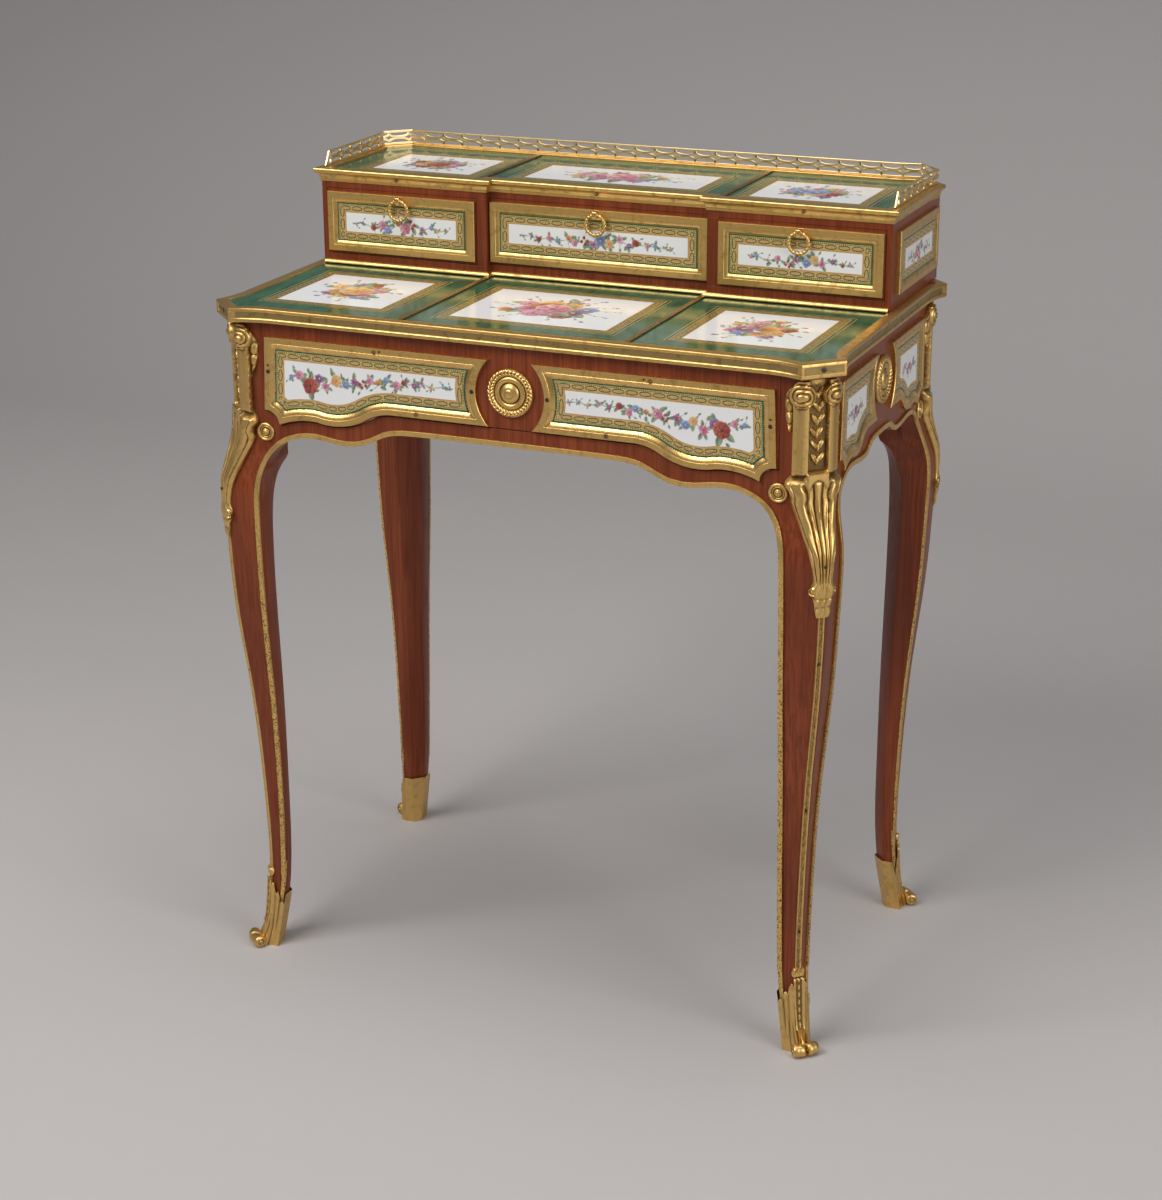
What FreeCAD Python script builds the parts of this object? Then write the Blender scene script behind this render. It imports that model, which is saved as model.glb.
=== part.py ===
import FreeCAD, Part
import math
import os
import re

# Bonheur du jour: a small writing desk with a low case of drawers on its top.
# Frame: +Z up, front towards -Y, origin on the floor under the middle of the desk, millimetres.

doc = FreeCAD.newDocument("bonheur_du_jour")
sheet = doc.addObject("Spreadsheet::Sheet", "Sizes")

DRIVING_SIZES = [
    ("desk_width", 657, "over the ears of the desk rim"),
    ("desk_depth", 406, "over the ears of the desk rim"),
    ("total_height", 826, "floor to the gallery's top rail"),
    ("seat_gap", 0.15, "room left between curved pieces that are fixed together"),
    ("fit_gap", 0.1, "room round a plaque or board let into a frame"),
    ("slide_gap", 0.4, "room round each drawer front and drawer box"),
    ("gallery_height", 15.5, "height of the gallery"),
    ("rim_height", 14.5, "height of the desk rim"),
    ("rim_width", 11.5, "width of the desk rim's top in the middle of a side"),
    ("rim_side_flare", 8, "how far a rim ear stands out beyond the side"),
    ("rim_front_flare", 10, "how far a rim ear stands out beyond the front"),
    ("rim_flare_run", 38, "length of each flare of the rim"),
    ("rim_cant", 32, "leg of the rim's canted corner"),
    ("rim_bead", 3.5, "height of each raised edge of the rim's face"),
    ("rim_sink", 1.2, "depth of the sunk band in the rim's face"),
    ("rim_side_overhang", 8.5, "rim beyond the side panels"),
    ("rim_front_overhang", 9, "rim beyond the frieze"),
    ("post_size", 41.5, "square of a leg's top"),
    ("panel_thickness", 16, "apron, side and back panels"),
    ("leg_unit", 1, "unit of the legs' and knee mounts' stations"),
    ("post_cant", 10, "half of the leg of a post's canted corner"),
    ("knee_drop", 124, "start of a leg's swell below the rim"),
    ("cant_drop", 96, "start of the narrowing of a leg's cant below the rim"),
    ("core_start", 3, "start of a leg's cut inner corner inside the post's corner"),
    ("leg_bottom", 6, "underside of the wood inside a sabot"),
    ("sabot_top", 66, "top of a sabot's cup"),
    ("sabot_wall", 2.4, "thickness of a sabot"),
    ("sabot_toe", 19.5, "reach of a sabot's toe beyond the leg's canted corner"),
    ("sabot_toe_width", 16, "width of a sabot's toe"),
    ("mount_gap", 4, "top of a knee mount below the rim"),
    ("wing_width", 11, "width of a knee mount's wing on the face of a post"),
    ("wing_thickness", 3, "thickness of a knee mount's wing"),
    ("wing_drop", 98, "lower end of a knee mount's wing below the rim"),
    ("strip_gap", 17, "lower end of a leg's corner strip above its sabot's cup"),
    ("strip_width", 7, "width of a leg's corner strip"),
    ("strip_thickness", 1.6, "thickness of a leg's corner strip"),
    ("edging_width", 5, "width of the edging"),
    ("edging_thickness", 2.4, "how far the edging stands out"),
    ("apron_drop", 100, "apron's lower edge in the middle, below the rim"),
    ("front_dip_depth", 18.5, "depth of the front apron's dip"),
    ("side_dip_depth", 11, "depth of a side's dip"),
    ("frame_drop", 15, "top of the frieze frames below the rim"),
    ("frame_height", 66, "frieze frames down to their straight lower edge"),
    ("cusp_drop", 23, "lowest point of the frieze frames below their straight lower edge"),
    ("corner_drop", 9, "outer lower corner below the straight lower edge"),
    ("frame_flare", 3, "outer lower corner of a frieze frame beyond its end"),
    ("frame_cusp_inset", 13, "lowest point of a frieze frame from its end"),
    ("frame_lobe", 7, "rise of the lobe beside the lowest point"),
    ("frame_bend", 8, "drop from the straight lower edge to the bend before the lobe"),
    ("frame_inner_end", 22.5, "inner corners of a frieze frame, from the middle"),
    ("frame_hollow", 36, "deepest point of a frame's hollow end, from the middle"),
    ("frame_margin", 4.5, "outer end of a frieze frame before the post"),
    ("frame_band", 12, "width of a frieze frame"),
    ("frame_thickness", 4.5, "how far a frieze frame stands out"),
    ("frame_bevel", 4, "width of a frame's sunk inner edge"),
    ("frame_bevel_depth", 1.2, "depth of a frame's sunk inner edge"),
    ("plaque_thickness", 2.5, "thickness of an upright plaque"),
    ("drawer_margin", 1.2, "frieze drawer front beyond the frames' lower edge"),
    ("apron_gap", 1, "seam between the frieze drawer front and the apron"),
    ("drawer_front_thickness", 14, "frieze drawer front"),
    ("drawer_board", 8, "sides and back of the frieze drawer"),
    ("drawer_back_gap", 20, "room behind the frieze drawer box"),
    ("drawer_rise", 2, "underside of the frieze drawer box above the frames' lower edge"),
    ("drawer_top_gap", 6, "room above the frieze drawer box"),
    ("drawer_floor", 5, "thickness of the frieze drawer's bottom"),
    ("lining_thickness", 1.2, "lining of the frieze drawer"),
    ("runner_width", 20.5, "width of a drawer runner"),
    ("runner_height", 11, "height of a drawer runner"),
    ("guide_width", 7.6, "width of a drawer guide"),
    ("guide_height", 14, "height of a drawer guide"),
    ("rosette_rise", 2, "centre of the rosettes above the middle of the frames"),
    ("rosette_radius", 24, "radius of a rosette"),
    ("rosette_relief", 8, "how far a rosette stands out"),
    ("boss_drop", 13.5, "centre of the bosses below the apron's middle"),
    ("boss_radius", 9.6, "radius of a boss"),
    ("boss_relief", 4, "how far a boss stands out"),
    ("screw_radius", 2.2, "radius of a screw head"),
    ("screw_relief", 0.7, "how far a screw head stands out"),
    ("plaque_sink", 5, "depth of the desk top's recess for its plaques"),
    ("flat_plaque", 4, "thickness of a plaque that lies flat"),
    ("bar_width", 5, "width of a bar between plaques"),
    ("bar_height", 5.5, "height of a bar between plaques"),
    ("back_bar", 3.5, "width of the bar along the foot of the case"),
    ("bar_shift", 3, "bars on the desk top inside the ends of the middle bay"),
    ("case_margin", 9.2, "sides of the case inside the rim"),
    ("case_depth", 168.2, "depth of the case at its side bays"),
    ("case_back_margin", 10.5, "back of the case inside the rim's ears"),
    ("bay_recess", 8.2, "how far the middle bay stands back"),
    ("partition", 11, "thickness of a partition of the case"),
    ("case_board", 6.3, "thickness of the case's sides"),
    ("case_back_board", 7, "thickness of the case's back"),
    ("case_floor_height", 10.5, "thickness of the case's floor"),
    ("bay_height", 69.5, "height of the drawer bays"),
    ("case_rail", 6.5, "height of the rail above the drawers"),
    ("cornice_foot", 3, "height of the cornice's foot"),
    ("cornice_cove", 6.5, "height of the cornice's cove"),
    ("cornice_lip", 4, "height of the cornice's lip"),
    ("cornice_foot_reach", 1.2, "cornice's foot beyond the case"),
    ("cornice_cove_reach", 3.5, "cornice's cove beyond the case"),
    ("cornice_lip_reach", 6.4, "cornice's lip beyond the case"),
    ("cornice_inset", 8, "cornice's inner edge inside the case"),
    ("case_ear", 4, "how far the cornice's back corners stand out"),
    ("case_cant", 25, "leg of the cornice's canted back corners"),
    ("case_flare_run", 30, "length of each flare of the cornice"),
    ("top_plaque_sink", 6, "depth of the top plaques below the cornice's lip"),
    ("bar_inset", 0.5, "bars on the case's top inside the partitions' outer faces"),
    ("gallery_inset", 6.5, "gallery inside the cornice's lip"),
    ("gallery_thickness", 2, "thickness of the gallery"),
    ("gallery_setback", 6.7, "front end of the gallery behind the case's front"),
    ("gallery_rake", 9, "how far the gallery's front end leans back"),
    ("gallery_rail", 2.4, "height of the gallery's rails"),
    ("gallery_pitch", 25.5, "spacing of the gallery's lozenges"),
    ("gallery_bar", 1.7, "metal left between the gallery's openings"),
    ("small_frame_margin_side", 1, "drawer front beyond its frame at the ends"),
    ("small_frame_margin_top", 3, "drawer front beyond its frame above and below"),
    ("small_frame_band", 11.3, "width of an upper drawer's frame"),
    ("small_frame_thickness", 4, "how far an upper drawer's frame stands out"),
    ("small_front_thickness", 10, "upper drawer front"),
    ("small_board", 5, "sides, back and bottom of an upper drawer"),
    ("small_drawer_back_gap", 5.5, "room behind the upper drawer boxes"),
    ("small_drawer_top_gap", 6, "upper drawer sides below the bay's top"),
    ("case_frame_front_margin", 16.7, "frame on a side of the case behind its front"),
    ("case_frame_back_margin", 12.5, "frame on a side of the case before its back"),
    ("ring_radius", 10.3, "radius of a pull ring's centre line"),
    ("ring_wire", 1.8, "radius of a pull ring's wire"),
    ("ring_clearance", 0.5, "room round a ring in its lug and in front of its frame"),
    ("lug_width", 4, "width of a pull's lug"),
    ("lug_wall", 1.4, "metal round the hole of a pull's lug"),
    ("pull_drop", 4.2, "ring's pivot below the top of its frame"),
]

DERIVED_SIZES = [
    ("half_width", "desk_width / 2", "ear of the rim"),
    ("half_depth", "desk_depth / 2", "ear of the rim"),
    ("cornice_height", "cornice_foot + cornice_cove + cornice_lip", "cornice"),
    ("case_height", "case_floor_height + bay_height + case_rail + cornice_height", "case with its cornice"),
    ("rim_bottom", "total_height - gallery_height - case_height - rim_height", "top of the legs"),
    ("rim_top", "rim_bottom + rim_height", "top of the desk rim"),
    ("rim_mid_x", "half_width - rim_side_flare", "rim in the middle of a side"),
    ("rim_mid_y", "half_depth - rim_front_flare", "rim in the middle of the front"),
    ("frieze_x", "rim_mid_x - rim_side_overhang", "outer face of the side panels"),
    ("frieze_y", "rim_mid_y - rim_front_overhang", "outer face of the frieze"),
    ("post_inner_x", "frieze_x - post_size", "inner side of a post"),
    ("post_inner_y", "frieze_y - post_size", "inner side of a post"),
    ("knee_top", "rim_bottom - knee_drop", "height where a leg starts to swell"),
    ("cant_top", "rim_bottom - cant_drop", "height where a leg's cant starts to narrow"),
    ("inner_curve_top", "0.958 * knee_top", "height where the inner edge of a leg leaves the post"),
    ("mount_top", "rim_bottom - mount_gap", "top of a knee mount"),
    ("wing_bottom", "rim_bottom - wing_drop", "lower end of a knee mount's wing"),
    ("strip_bottom", "sabot_top + strip_gap", "lower end of a leg's corner strip"),
    ("apron_middle", "rim_bottom - apron_drop", "apron's lower edge in the middle"),
    ("front_apron_flat", "0.4 * post_inner_x", "end of the straight middle of the front apron's edge"),
    ("front_apron_dip", "0.6654 * post_inner_x", "place of the front apron's dip"),
    ("side_apron_flat", "0.14 * post_inner_y", "end of the straight middle of a side's lower edge"),
    ("side_apron_dip", "0.379 * post_inner_y", "place of a side's dip"),
    ("frame_top", "rim_bottom - frame_drop", "top of the frieze frames"),
    ("frame_bottom", "frame_top - frame_height", "straight part of the frieze frames' lower edge"),
    ("frame_cusp", "frame_bottom - cusp_drop", "lowest point of the frieze frames"),
    ("frame_corner", "frame_bottom - corner_drop", "outer lower corner of the frieze frames"),
    ("front_frame_end", "post_inner_x - frame_margin", "outer end of a front frame"),
    ("front_frame_flat", "0.47 * front_frame_end", "end of the straight lower edge of a front frame"),
    ("side_frame_end", "post_inner_y - frame_margin", "outer end of a side frame"),
    ("side_frame_flat", "0.377 * side_frame_end", "end of the straight lower edge of a side frame"),
    ("rosette_height", "(frame_top + frame_bottom) / 2 + rosette_rise", "centre of the rosettes"),
    ("boss_height", "apron_middle - boss_drop", "centre of the bosses"),
    ("drawer_front_x", "post_inner_x - slide_gap", "end of the frieze drawer front"),
    ("drawer_front_top", "rim_bottom - 3 * slide_gap", "top of the frieze drawer front"),
    ("drawer_box_x", "post_inner_x - guide_width - slide_gap", "outer face of the drawer's sides"),
    ("drawer_front_back", "frieze_y - drawer_front_thickness", "back of the frieze drawer front"),
    ("drawer_box_bottom", "frame_bottom + drawer_rise", "underside of the frieze drawer box"),
    ("drawer_box_top", "rim_bottom - drawer_top_gap", "top of the frieze drawer box"),
    ("drawer_box_end", "frieze_y - panel_thickness - drawer_back_gap", "back end of the frieze drawer"),
    ("field_x", "rim_mid_x - rim_width", "inner edge of the rim, in the middle of a side"),
    ("field_y", "rim_mid_y - rim_width", "inner edge of the rim, in the middle of the front"),
    ("recess_floor", "rim_top - plaque_sink", "floor of the desk top's recess"),
    ("case_x", "rim_mid_x - case_margin", "outer side of the case"),
    ("case_inner_x", "case_x - case_board", "inner side of the case"),
    ("case_back", "half_depth - case_back_margin", "back of the case"),
    ("case_front", "case_back - case_depth", "front of the case's side bays"),
    ("middle_front", "case_front + bay_recess", "front of the middle bay"),
    ("bay_half", "0.3887 * case_x", "half width of the middle bay"),
    ("side_bay_inner", "bay_half + partition", "inner end of a side bay"),
    ("desk_bar", "bay_half - bar_shift", "place of the bars on the desk top"),
    ("case_bar", "side_bay_inner - bar_inset", "place of the bars on the case's top"),
    ("bay_bottom", "rim_top + case_floor_height", "floor of the drawer bays"),
    ("bay_top", "bay_bottom + bay_height", "top of the drawer bays"),
    ("cornice_bottom", "bay_top + case_rail", "underside of the cornice"),
    ("cornice_top", "cornice_bottom + cornice_height", "top of the cornice"),
    ("top_plaque_floor", "cornice_top - top_plaque_sink", "underside of the top plaques"),
    ("small_drawer_end", "case_back - case_back_board - small_drawer_back_gap", "end of the upper drawers"),
    ("case_side_frame_start", "case_front + case_frame_front_margin", "front of a case side's frame"),
    ("case_side_frame_end", "case_back - case_frame_back_margin", "back of a case side's frame"),
    ("gallery_front", "case_front + gallery_setback", "front end of the gallery at its foot"),
    ("ring_reach", "small_frame_thickness + lug_wall + ring_clearance + ring_wire", "pivot before a front"),
]


def fill_sheet():
    """Write the driving sizes as numbers and the derived ones as formulas, each with its alias."""
    row = 1
    for alias, value, meaning in DRIVING_SIZES:
        sheet.set(f"A{row}", meaning)
        sheet.set(f"B{row}", str(value))
        sheet.setAlias(f"B{row}", alias)
        row += 1
    for alias, formula, meaning in DERIVED_SIZES:
        sheet.set(f"A{row}", meaning)
        sheet.set(f"B{row}", "=" + formula)
        sheet.setAlias(f"B{row}", alias)
        row += 1
    doc.recompute()


fill_sheet()
nodes = []


def size(alias):
    """Value of one cell."""
    return float(sheet.get(alias))


def cells(formula):
    """The same formula with its words turned into references to the sheet."""
    return re.sub(r"[a-z_]{2,}", lambda word: "Sizes." + word.group(0), formula)


def node(thing, label):
    """Take a finished object as a sub-part with this label."""
    thing.Label = label
    nodes.append(thing)
    return thing


def at(u, v):
    return FreeCAD.Vector(u, v, 0)


def lines(*points):
    """Straight runs through the points."""
    return [Part.LineSegment(at(*a), at(*b)) for a, b in zip(points, points[1:])]


def loop(*points):
    """Closed polygon."""
    return lines(*points, points[0])


def arc(start, middle, end):
    return [Part.Arc(at(*start), at(*middle), at(*end))]


def curve(points):
    """Smooth curve through the points."""
    spline = Part.BSplineCurve()
    spline.interpolate([at(*point) for point in points])
    return [spline]


def rectangle(low, high):
    return loop(low, (high[0], low[1]), high, (low[0], high[1]))


def flipped(points):
    """The same points on the other side of the middle, in the opposite order."""
    return [(-u, v) for u, v in reversed(points)]


def reflected(outline, across, along):
    """Outline turned over across the width, the depth or both."""
    flip = FreeCAD.Matrix(across, 0, 0, 0, 0, along, 0, 0, 0, 0, 1, 0, 0, 0, 0, 1)
    copies = []
    for piece in outline:
        copy = piece.copy()
        copy.transform(flip)
        copies.append(copy)
    return copies


def inset(outline, distance):
    """Outline of lines and arcs moved inwards by a distance."""
    wire = Part.Wire(Part.__sortEdges__([piece.toShape() for piece in outline]))
    moved = []
    for edge in wire.makeOffset2D(-distance).Edges:
        ends = [edge.valueAt(edge.FirstParameter), edge.valueAt(edge.LastParameter)]
        if isinstance(edge.Curve, Part.Line):
            moved.append(Part.LineSegment(*ends))
        else:
            middle = edge.valueAt((edge.FirstParameter + edge.LastParameter) / 2)
            moved.append(Part.Arc(ends[0], middle, ends[1]))
    return moved


def slab(name, x, y, z):
    """Box between pairs of formulas along the three axes."""
    box = doc.addObject("Part::Box", name)
    for axis, side, (low, high) in zip("xyz", ("Length", "Width", "Height"), (x, y, z)):
        box.setExpression(f"Placement.Base.{axis}", cells(low))
        box.setExpression(side, cells(f"({high}) - ({low})"))
    return box


def sketch_on(body, plane, outline, height):
    """Sketch of an outline at a height over one of the body's own planes."""
    sketch = body.newObject("Sketcher::SketchObject", body.Name + "_outline")
    planes = {feature.Role: feature for feature in body.Origin.OriginFeatures}
    sketch.AttachmentSupport = [(planes[plane], "")]
    sketch.MapMode = "FlatFace"
    sketch.setExpression("AttachmentOffset.Base.z", cells(height))
    sketch.addGeometry(outline, False)
    return sketch


def pad_on(body, plane, outline, start, end):
    """Pad one more layer of a body between two heights over a plane."""
    pad = body.newObject("PartDesign::Pad", body.Name + "_pad")
    pad.Profile = sketch_on(body, plane, outline, start)
    pad.setExpression("Length", cells(f"({end}) - ({start})"))
    return pad


def padded(name, plane, outline, start, end, placement=None):
    """Body of one outline pushed from start to end along the plane's normal."""
    body = doc.addObject("PartDesign::Body", name)
    pad_on(body, plane, outline, start, end)
    if placement:
        body.Placement = placement
    return body


def turned(name, profile, placement):
    """Body turned about its own axis from a profile of radius and height."""
    body = doc.addObject("PartDesign::Body", name)
    sketch = sketch_on(body, "XZ_Plane", profile, "0")
    turn = body.newObject("PartDesign::Revolution", name + "_turn")
    turn.Profile = sketch
    turn.ReferenceAxis = (sketch, ["V_Axis"])
    turn.Angle = 360
    body.Placement = placement
    return body


def common(name, *pieces):
    shared = doc.addObject("Part::MultiCommon", name)
    shared.Shapes = list(pieces)
    return shared


def fused(name, *pieces):
    whole = doc.addObject("Part::MultiFuse", name)
    whole.Shapes = list(pieces)
    return whole


def cut(name, base, tool):
    rest = doc.addObject("Part::Cut", name)
    rest.Base = base
    rest.Tool = tool
    return rest


def mirror(name, source, normal):
    """Copy of a piece on the other side of the middle."""
    copy = doc.addObject("Part::Mirroring", name)
    copy.Source = source
    copy.Normal = normal
    return copy


def group(name, members):
    """Several separate solids kept as one sub-part."""
    together = doc.addObject("Part::Compound", name)
    together.Links = members
    return node(together, name)


LEFT_RIGHT = FreeCAD.Vector(1, 0, 0)
FRONT_BACK = FreeCAD.Vector(0, 1, 0)
CORNERS = ("front_right", "front_left", "back_right", "back_left")


def at_corners(name, master):
    """A front right piece with its three mirror images, in the order of CORNERS."""
    front_left = mirror(name + "_front_left", master, LEFT_RIGHT)
    back_right = mirror(name + "_back_right", master, FRONT_BACK)
    back_left = mirror(name + "_back_left", front_left, FRONT_BACK)
    return [master, front_left, back_right, back_left]


def corner_frame():
    """Placement whose X axis runs out along the front right corner's diagonal."""
    turn = FreeCAD.Rotation(FreeCAD.Vector(0, 0, 1), -45)
    return FreeCAD.Placement(FreeCAD.Vector(size("frieze_x") - size("frieze_y"), 0, 0), turn)


# Legs. Each station is a height as a share of the knee's, then how far the outer faces swell beyond
# the frieze, how far the inner faces draw away from the post, half of the cant's leg, and how far
# the cut inner corner lies from the post's own corner.
LEG_STATIONS = [
    (0.961, 4.5, None, 8.0, None),
    (0.927, 9.0, 4.5, 7.0, 10.0),
    (0.883, 10.5, 6.0, 5.5, 15.0),
    (0.816, 9.2, 6.5, 4.5, 16.5),
    (0.699, 6.0, 6.5, 4.0, 16.0),
    (0.500, -3.9, 6.0, 3.6, 13.3),
    (0.297, -9.8, 6.0, 3.4, 12.6),
    (0.145, -10.9, 8.0, 3.3, 14.0),
]
FOOT = (-4.5, 19.0, 3.3, 23.0)
DIAGONAL = math.sqrt(2)


# Knee mounts. Each station is a height as a share of the knee's and the mount's relief there, and
# each width a height share and half the mount's width.
KNEE_RELIEF = [(1.154, 7.5), (1.093, 6.0), (1.054, 13.0), (1.005, 18.0), (0.961, 16.5), (0.927, 11.5),
               (0.883, 5.7), (0.816, 2.5)]
KNEE_TOP_RELIEF = 10.0
KNEE_WIDTH = [(1.093, 13.0), (1.057, 15.0), (1.032, 17.0), (0.997, 15.0), (0.961, 11.0), (0.927, 7.0),
              (0.883, 5.0), (0.816, 3.5)]
KNEE_TOP_WIDTH = 13.0


def scaled(values):
    """Values of a station in the legs' own unit, leaving out what a station doesn't have."""
    return [None if value is None else value * size("leg_unit") for value in values]


def leg_stations():
    """Stations with real heights, ending at the foot."""
    height = size("knee_top")
    rows = [(row[0] * height, *scaled(row[1:])) for row in LEG_STATIONS]
    return rows + [(size("leg_bottom"), *scaled(FOOT))]


def outer_points(face):
    """Outer face of a leg below its post, from the top down."""
    return [(face, size("knee_top"))] + [(face + swell, z) for z, swell, _, _, _ in leg_stations()]


def inner_points(face):
    """Inner face of a leg below its post, from the top down."""
    inner = face - size("post_size")
    drawn = [(inner + draw, z) for z, _, draw, _, _ in leg_stations() if draw is not None]
    return [(inner, size("inner_curve_top"))] + drawn


def cant_points():
    """Canted corner along the diagonal, from the top of its narrowing down."""
    face = size("frieze_y")
    straight = [(DIAGONAL * (face - size("post_cant")), size("cant_top"))]
    return straight + [(DIAGONAL * (face + swell - cant), z) for z, swell, _, cant, _ in leg_stations()]


def core_points():
    """Cut inner corner along the diagonal, from just inside the post down."""
    inner = size("post_inner_y")
    start = [(DIAGONAL * (inner - size("core_start")), size("inner_curve_top"))]
    cores = [(z, core) for z, _, _, _, core in leg_stations() if core is not None]
    return start + [(DIAGONAL * (inner + core), z) for z, core in cores]


def leg_view(face, side):
    """Outline of a leg seen square to one face, on the given side of the middle."""
    outer = [(side * u, z) for u, z in outer_points(face)]
    inner = [(side * u, z) for u, z in inner_points(face)]
    top = size("rim_bottom")
    post = [inner[0], (inner[0][0], top), (outer[0][0], top), outer[0]]
    return lines(*post) + curve(outer) + lines(outer[-1], inner[-1]) + curve(list(reversed(inner)))


def cant_view():
    """Outline of a leg along its diagonal, cut inside and canted outside."""
    cant = cant_points()
    core = core_points()
    top = size("rim_bottom")
    return (lines(core[0], (core[0][0], top), (cant[0][0], top), cant[0]) + curve(cant)
            + lines(cant[-1], core[-1]) + curve(list(reversed(core))))


def make_legs():
    front = padded("leg_front_view", "XZ_Plane", leg_view(size("frieze_x"), 1),
                   "frieze_y - 2 * post_size", "frieze_y + post_size")
    side = padded("leg_side_view", "YZ_Plane", leg_view(size("frieze_y"), -1),
                  "frieze_x - 2 * post_size", "frieze_x + post_size")
    cant = padded("leg_cant_view", "XZ_Plane", cant_view(), "-2 * post_size", "2 * post_size",
                  corner_frame())
    legs = at_corners("leg", common("leg_front_right", front, side, cant))
    for corner, leg in zip(CORNERS, legs):
        node(leg, "leg_" + corner)
    return legs[0]


def make_corner_strips():
    """Bronze strips down the canted corners, from the knee mounts to the sabots."""
    back = [(u + size("seat_gap"), z) for u, z in cant_points()]
    face = [(u + size("strip_thickness"), z) for u, z in back]
    outline = (curve(back) + lines(back[-1], face[-1]) + curve(list(reversed(face)))
               + lines(face[0], back[0]))
    band = padded("strip_band", "XZ_Plane", outline, "-strip_width / 2", "strip_width / 2", corner_frame())
    stretch = slab("strip_stretch", ("0", "desk_width"), ("-desk_depth", "0"),
                   ("strip_bottom", f"knee_top * {KNEE_RELIEF[-1][0]}"))
    master = common("strip_front_right", band, stretch)
    group("leg_corner_strips", at_corners("strip", master))


def knee_wing():
    """Wing of a knee mount on the front face of its post, running in under the scroll."""
    edge = size("frieze_x") - 2 * size("post_cant")
    far = edge - size("wing_width")
    near = edge + size("post_cant") / 2
    low = size("wing_bottom")
    high = size("mount_top")
    shoulder = size("wing_width") / 2
    outline = loop((near, low), (edge, low), (far, low + shoulder), (far, high - shoulder), (edge, high),
                   (near, high))
    return padded("knee_wing_front", "XZ_Plane", outline, "frieze_y + seat_gap",
                  "frieze_y + seat_gap + wing_thickness")


def make_knee_mounts():
    knee = size("knee_top")
    unit = size("leg_unit")
    top = size("mount_top")
    back = [(u + size("seat_gap"), z) for u, z in cant_points()]
    post = back[0][0]
    surface = Part.BSplineCurve()
    surface.interpolate([at(z, u) for u, z in reversed(back)])
    relief = [(post + KNEE_TOP_RELIEF * unit, top)]
    for share, height in KNEE_RELIEF:
        z = share * knee
        base = post if z > back[0][1] else surface.value(surface.parameter(at(z, post))).y
        relief.append((base + height * unit, z))
    profile = (lines((post, top), back[0]) + curve(back) + lines(back[-1], relief[-1])
               + curve(list(reversed(relief))) + lines(relief[0], (post, top)))
    edge = [(KNEE_TOP_WIDTH * unit, top)] + [(half * unit, share * knee) for share, half in KNEE_WIDTH]
    face = (curve(edge) + lines(edge[-1], (-edge[-1][0], edge[-1][1])) + curve(flipped(edge))
            + lines((-edge[0][0], top), edge[0]))
    relief_body = padded("knee_profile", "XZ_Plane", profile, "-post_size", "post_size", corner_frame())
    face_body = padded("knee_face", "YZ_Plane", face, "frieze_y", "frieze_y + 3 * post_size",
                       corner_frame())
    front_wing = knee_wing()
    side_wing = mirror("knee_wing_side", front_wing, FreeCAD.Vector(1, 1, 0))
    side_wing.Base = corner_frame().Base
    scroll = common("knee_scroll", relief_body, face_body)
    master = fused("knee_mount_front_right", scroll, front_wing, side_wing)
    group("knee_mounts", at_corners("knee_mount", master))


def make_sabots(leg):
    """Bronze shoes with a toe on the diagonal, hollowed to the leg's foot."""
    height = size("sabot_top")
    wall = size("sabot_wall")
    ankle = leg_stations()[-2]
    foot = leg_stations()[-1]
    rise = (height - foot[0]) / (ankle[0] - foot[0])

    def between(column):
        return foot[column] + rise * (ankle[column] - foot[column])

    def cup(face, side):
        inner = face - size("post_size")
        points = [(inner + foot[2] - wall, 0), (face + foot[1] + wall, 0),
                  (face + between(1) + wall, height), (inner + between(2) - wall, height)]
        return loop(*[(side * u, z) for u, z in points])

    front = padded("sabot_front_view", "XZ_Plane", cup(size("frieze_x"), 1),
                   "frieze_y - 2 * post_size", "frieze_y + post_size")
    side = padded("sabot_side_view", "YZ_Plane", cup(size("frieze_y"), -1),
                  "frieze_x - 2 * post_size", "frieze_x + post_size")
    ankle_cant = cant_points()[-2][0]
    foot_cant = cant_points()[-1][0]
    tip = foot_cant + size("sabot_toe")
    cant_edge = [(ankle_cant + 1.5 * wall, height), (ankle_cant + 2 * wall, 0.55 * height),
                 (tip - 0.35 * size("sabot_toe"), 0.26 * height), (tip, 0.1 * height), (tip - wall, 0)]
    inner = size("post_inner_y")
    heel = DIAGONAL * (inner + foot[4]) - wall
    heel_top = DIAGONAL * (inner + between(4)) - wall
    toe = padded("sabot_toe_view", "XZ_Plane",
                 lines((heel, 0), (heel, height), cant_edge[0]) + curve(cant_edge)
                 + lines(cant_edge[-1], (heel, 0)),
                 "-sabot_toe_width / 2", "sabot_toe_width / 2", corner_frame())
    sole_end = foot_cant + 2 * wall
    cant_limit = padded("sabot_cant_view", "XZ_Plane",
                        loop((heel, 0), (sole_end, 0), (sole_end, height), (heel_top, height)),
                        "-post_size", "post_size", corner_frame())
    shoe = fused("sabot_shoe", common("sabot_cup", front, side, cant_limit), toe)
    master = cut("sabot_front_right", shoe, leg)
    group("sabots", at_corners("sabot", master))


def apron_edge(middle, flat, dip, depth, end):
    """Lower edge of an apron from the middle out to the post, as points of one smooth curve."""
    run = dip - flat
    reach = end - dip
    low = middle - depth
    fall = low - size("inner_curve_top")
    return [(0, middle), (0.6 * flat, middle), (flat, middle - 0.03 * depth),
            (flat + 0.35 * run, middle - 0.2 * depth), (flat + 0.68 * run, middle - 0.78 * depth),
            (dip, low), (dip + 0.38 * reach, low + 0.2 * depth), (dip + 0.66 * reach, low),
            (dip + 0.86 * reach, low - 0.363 * fall), (end, low - fall)]


def front_edge():
    return apron_edge(size("apron_middle"), size("front_apron_flat"), size("front_apron_dip"),
                      size("front_dip_depth"), size("post_inner_x"))


def side_edge():
    return apron_edge(size("apron_middle"), size("side_apron_flat"), size("side_apron_dip"),
                      size("side_dip_depth"), size("post_inner_y"))


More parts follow.
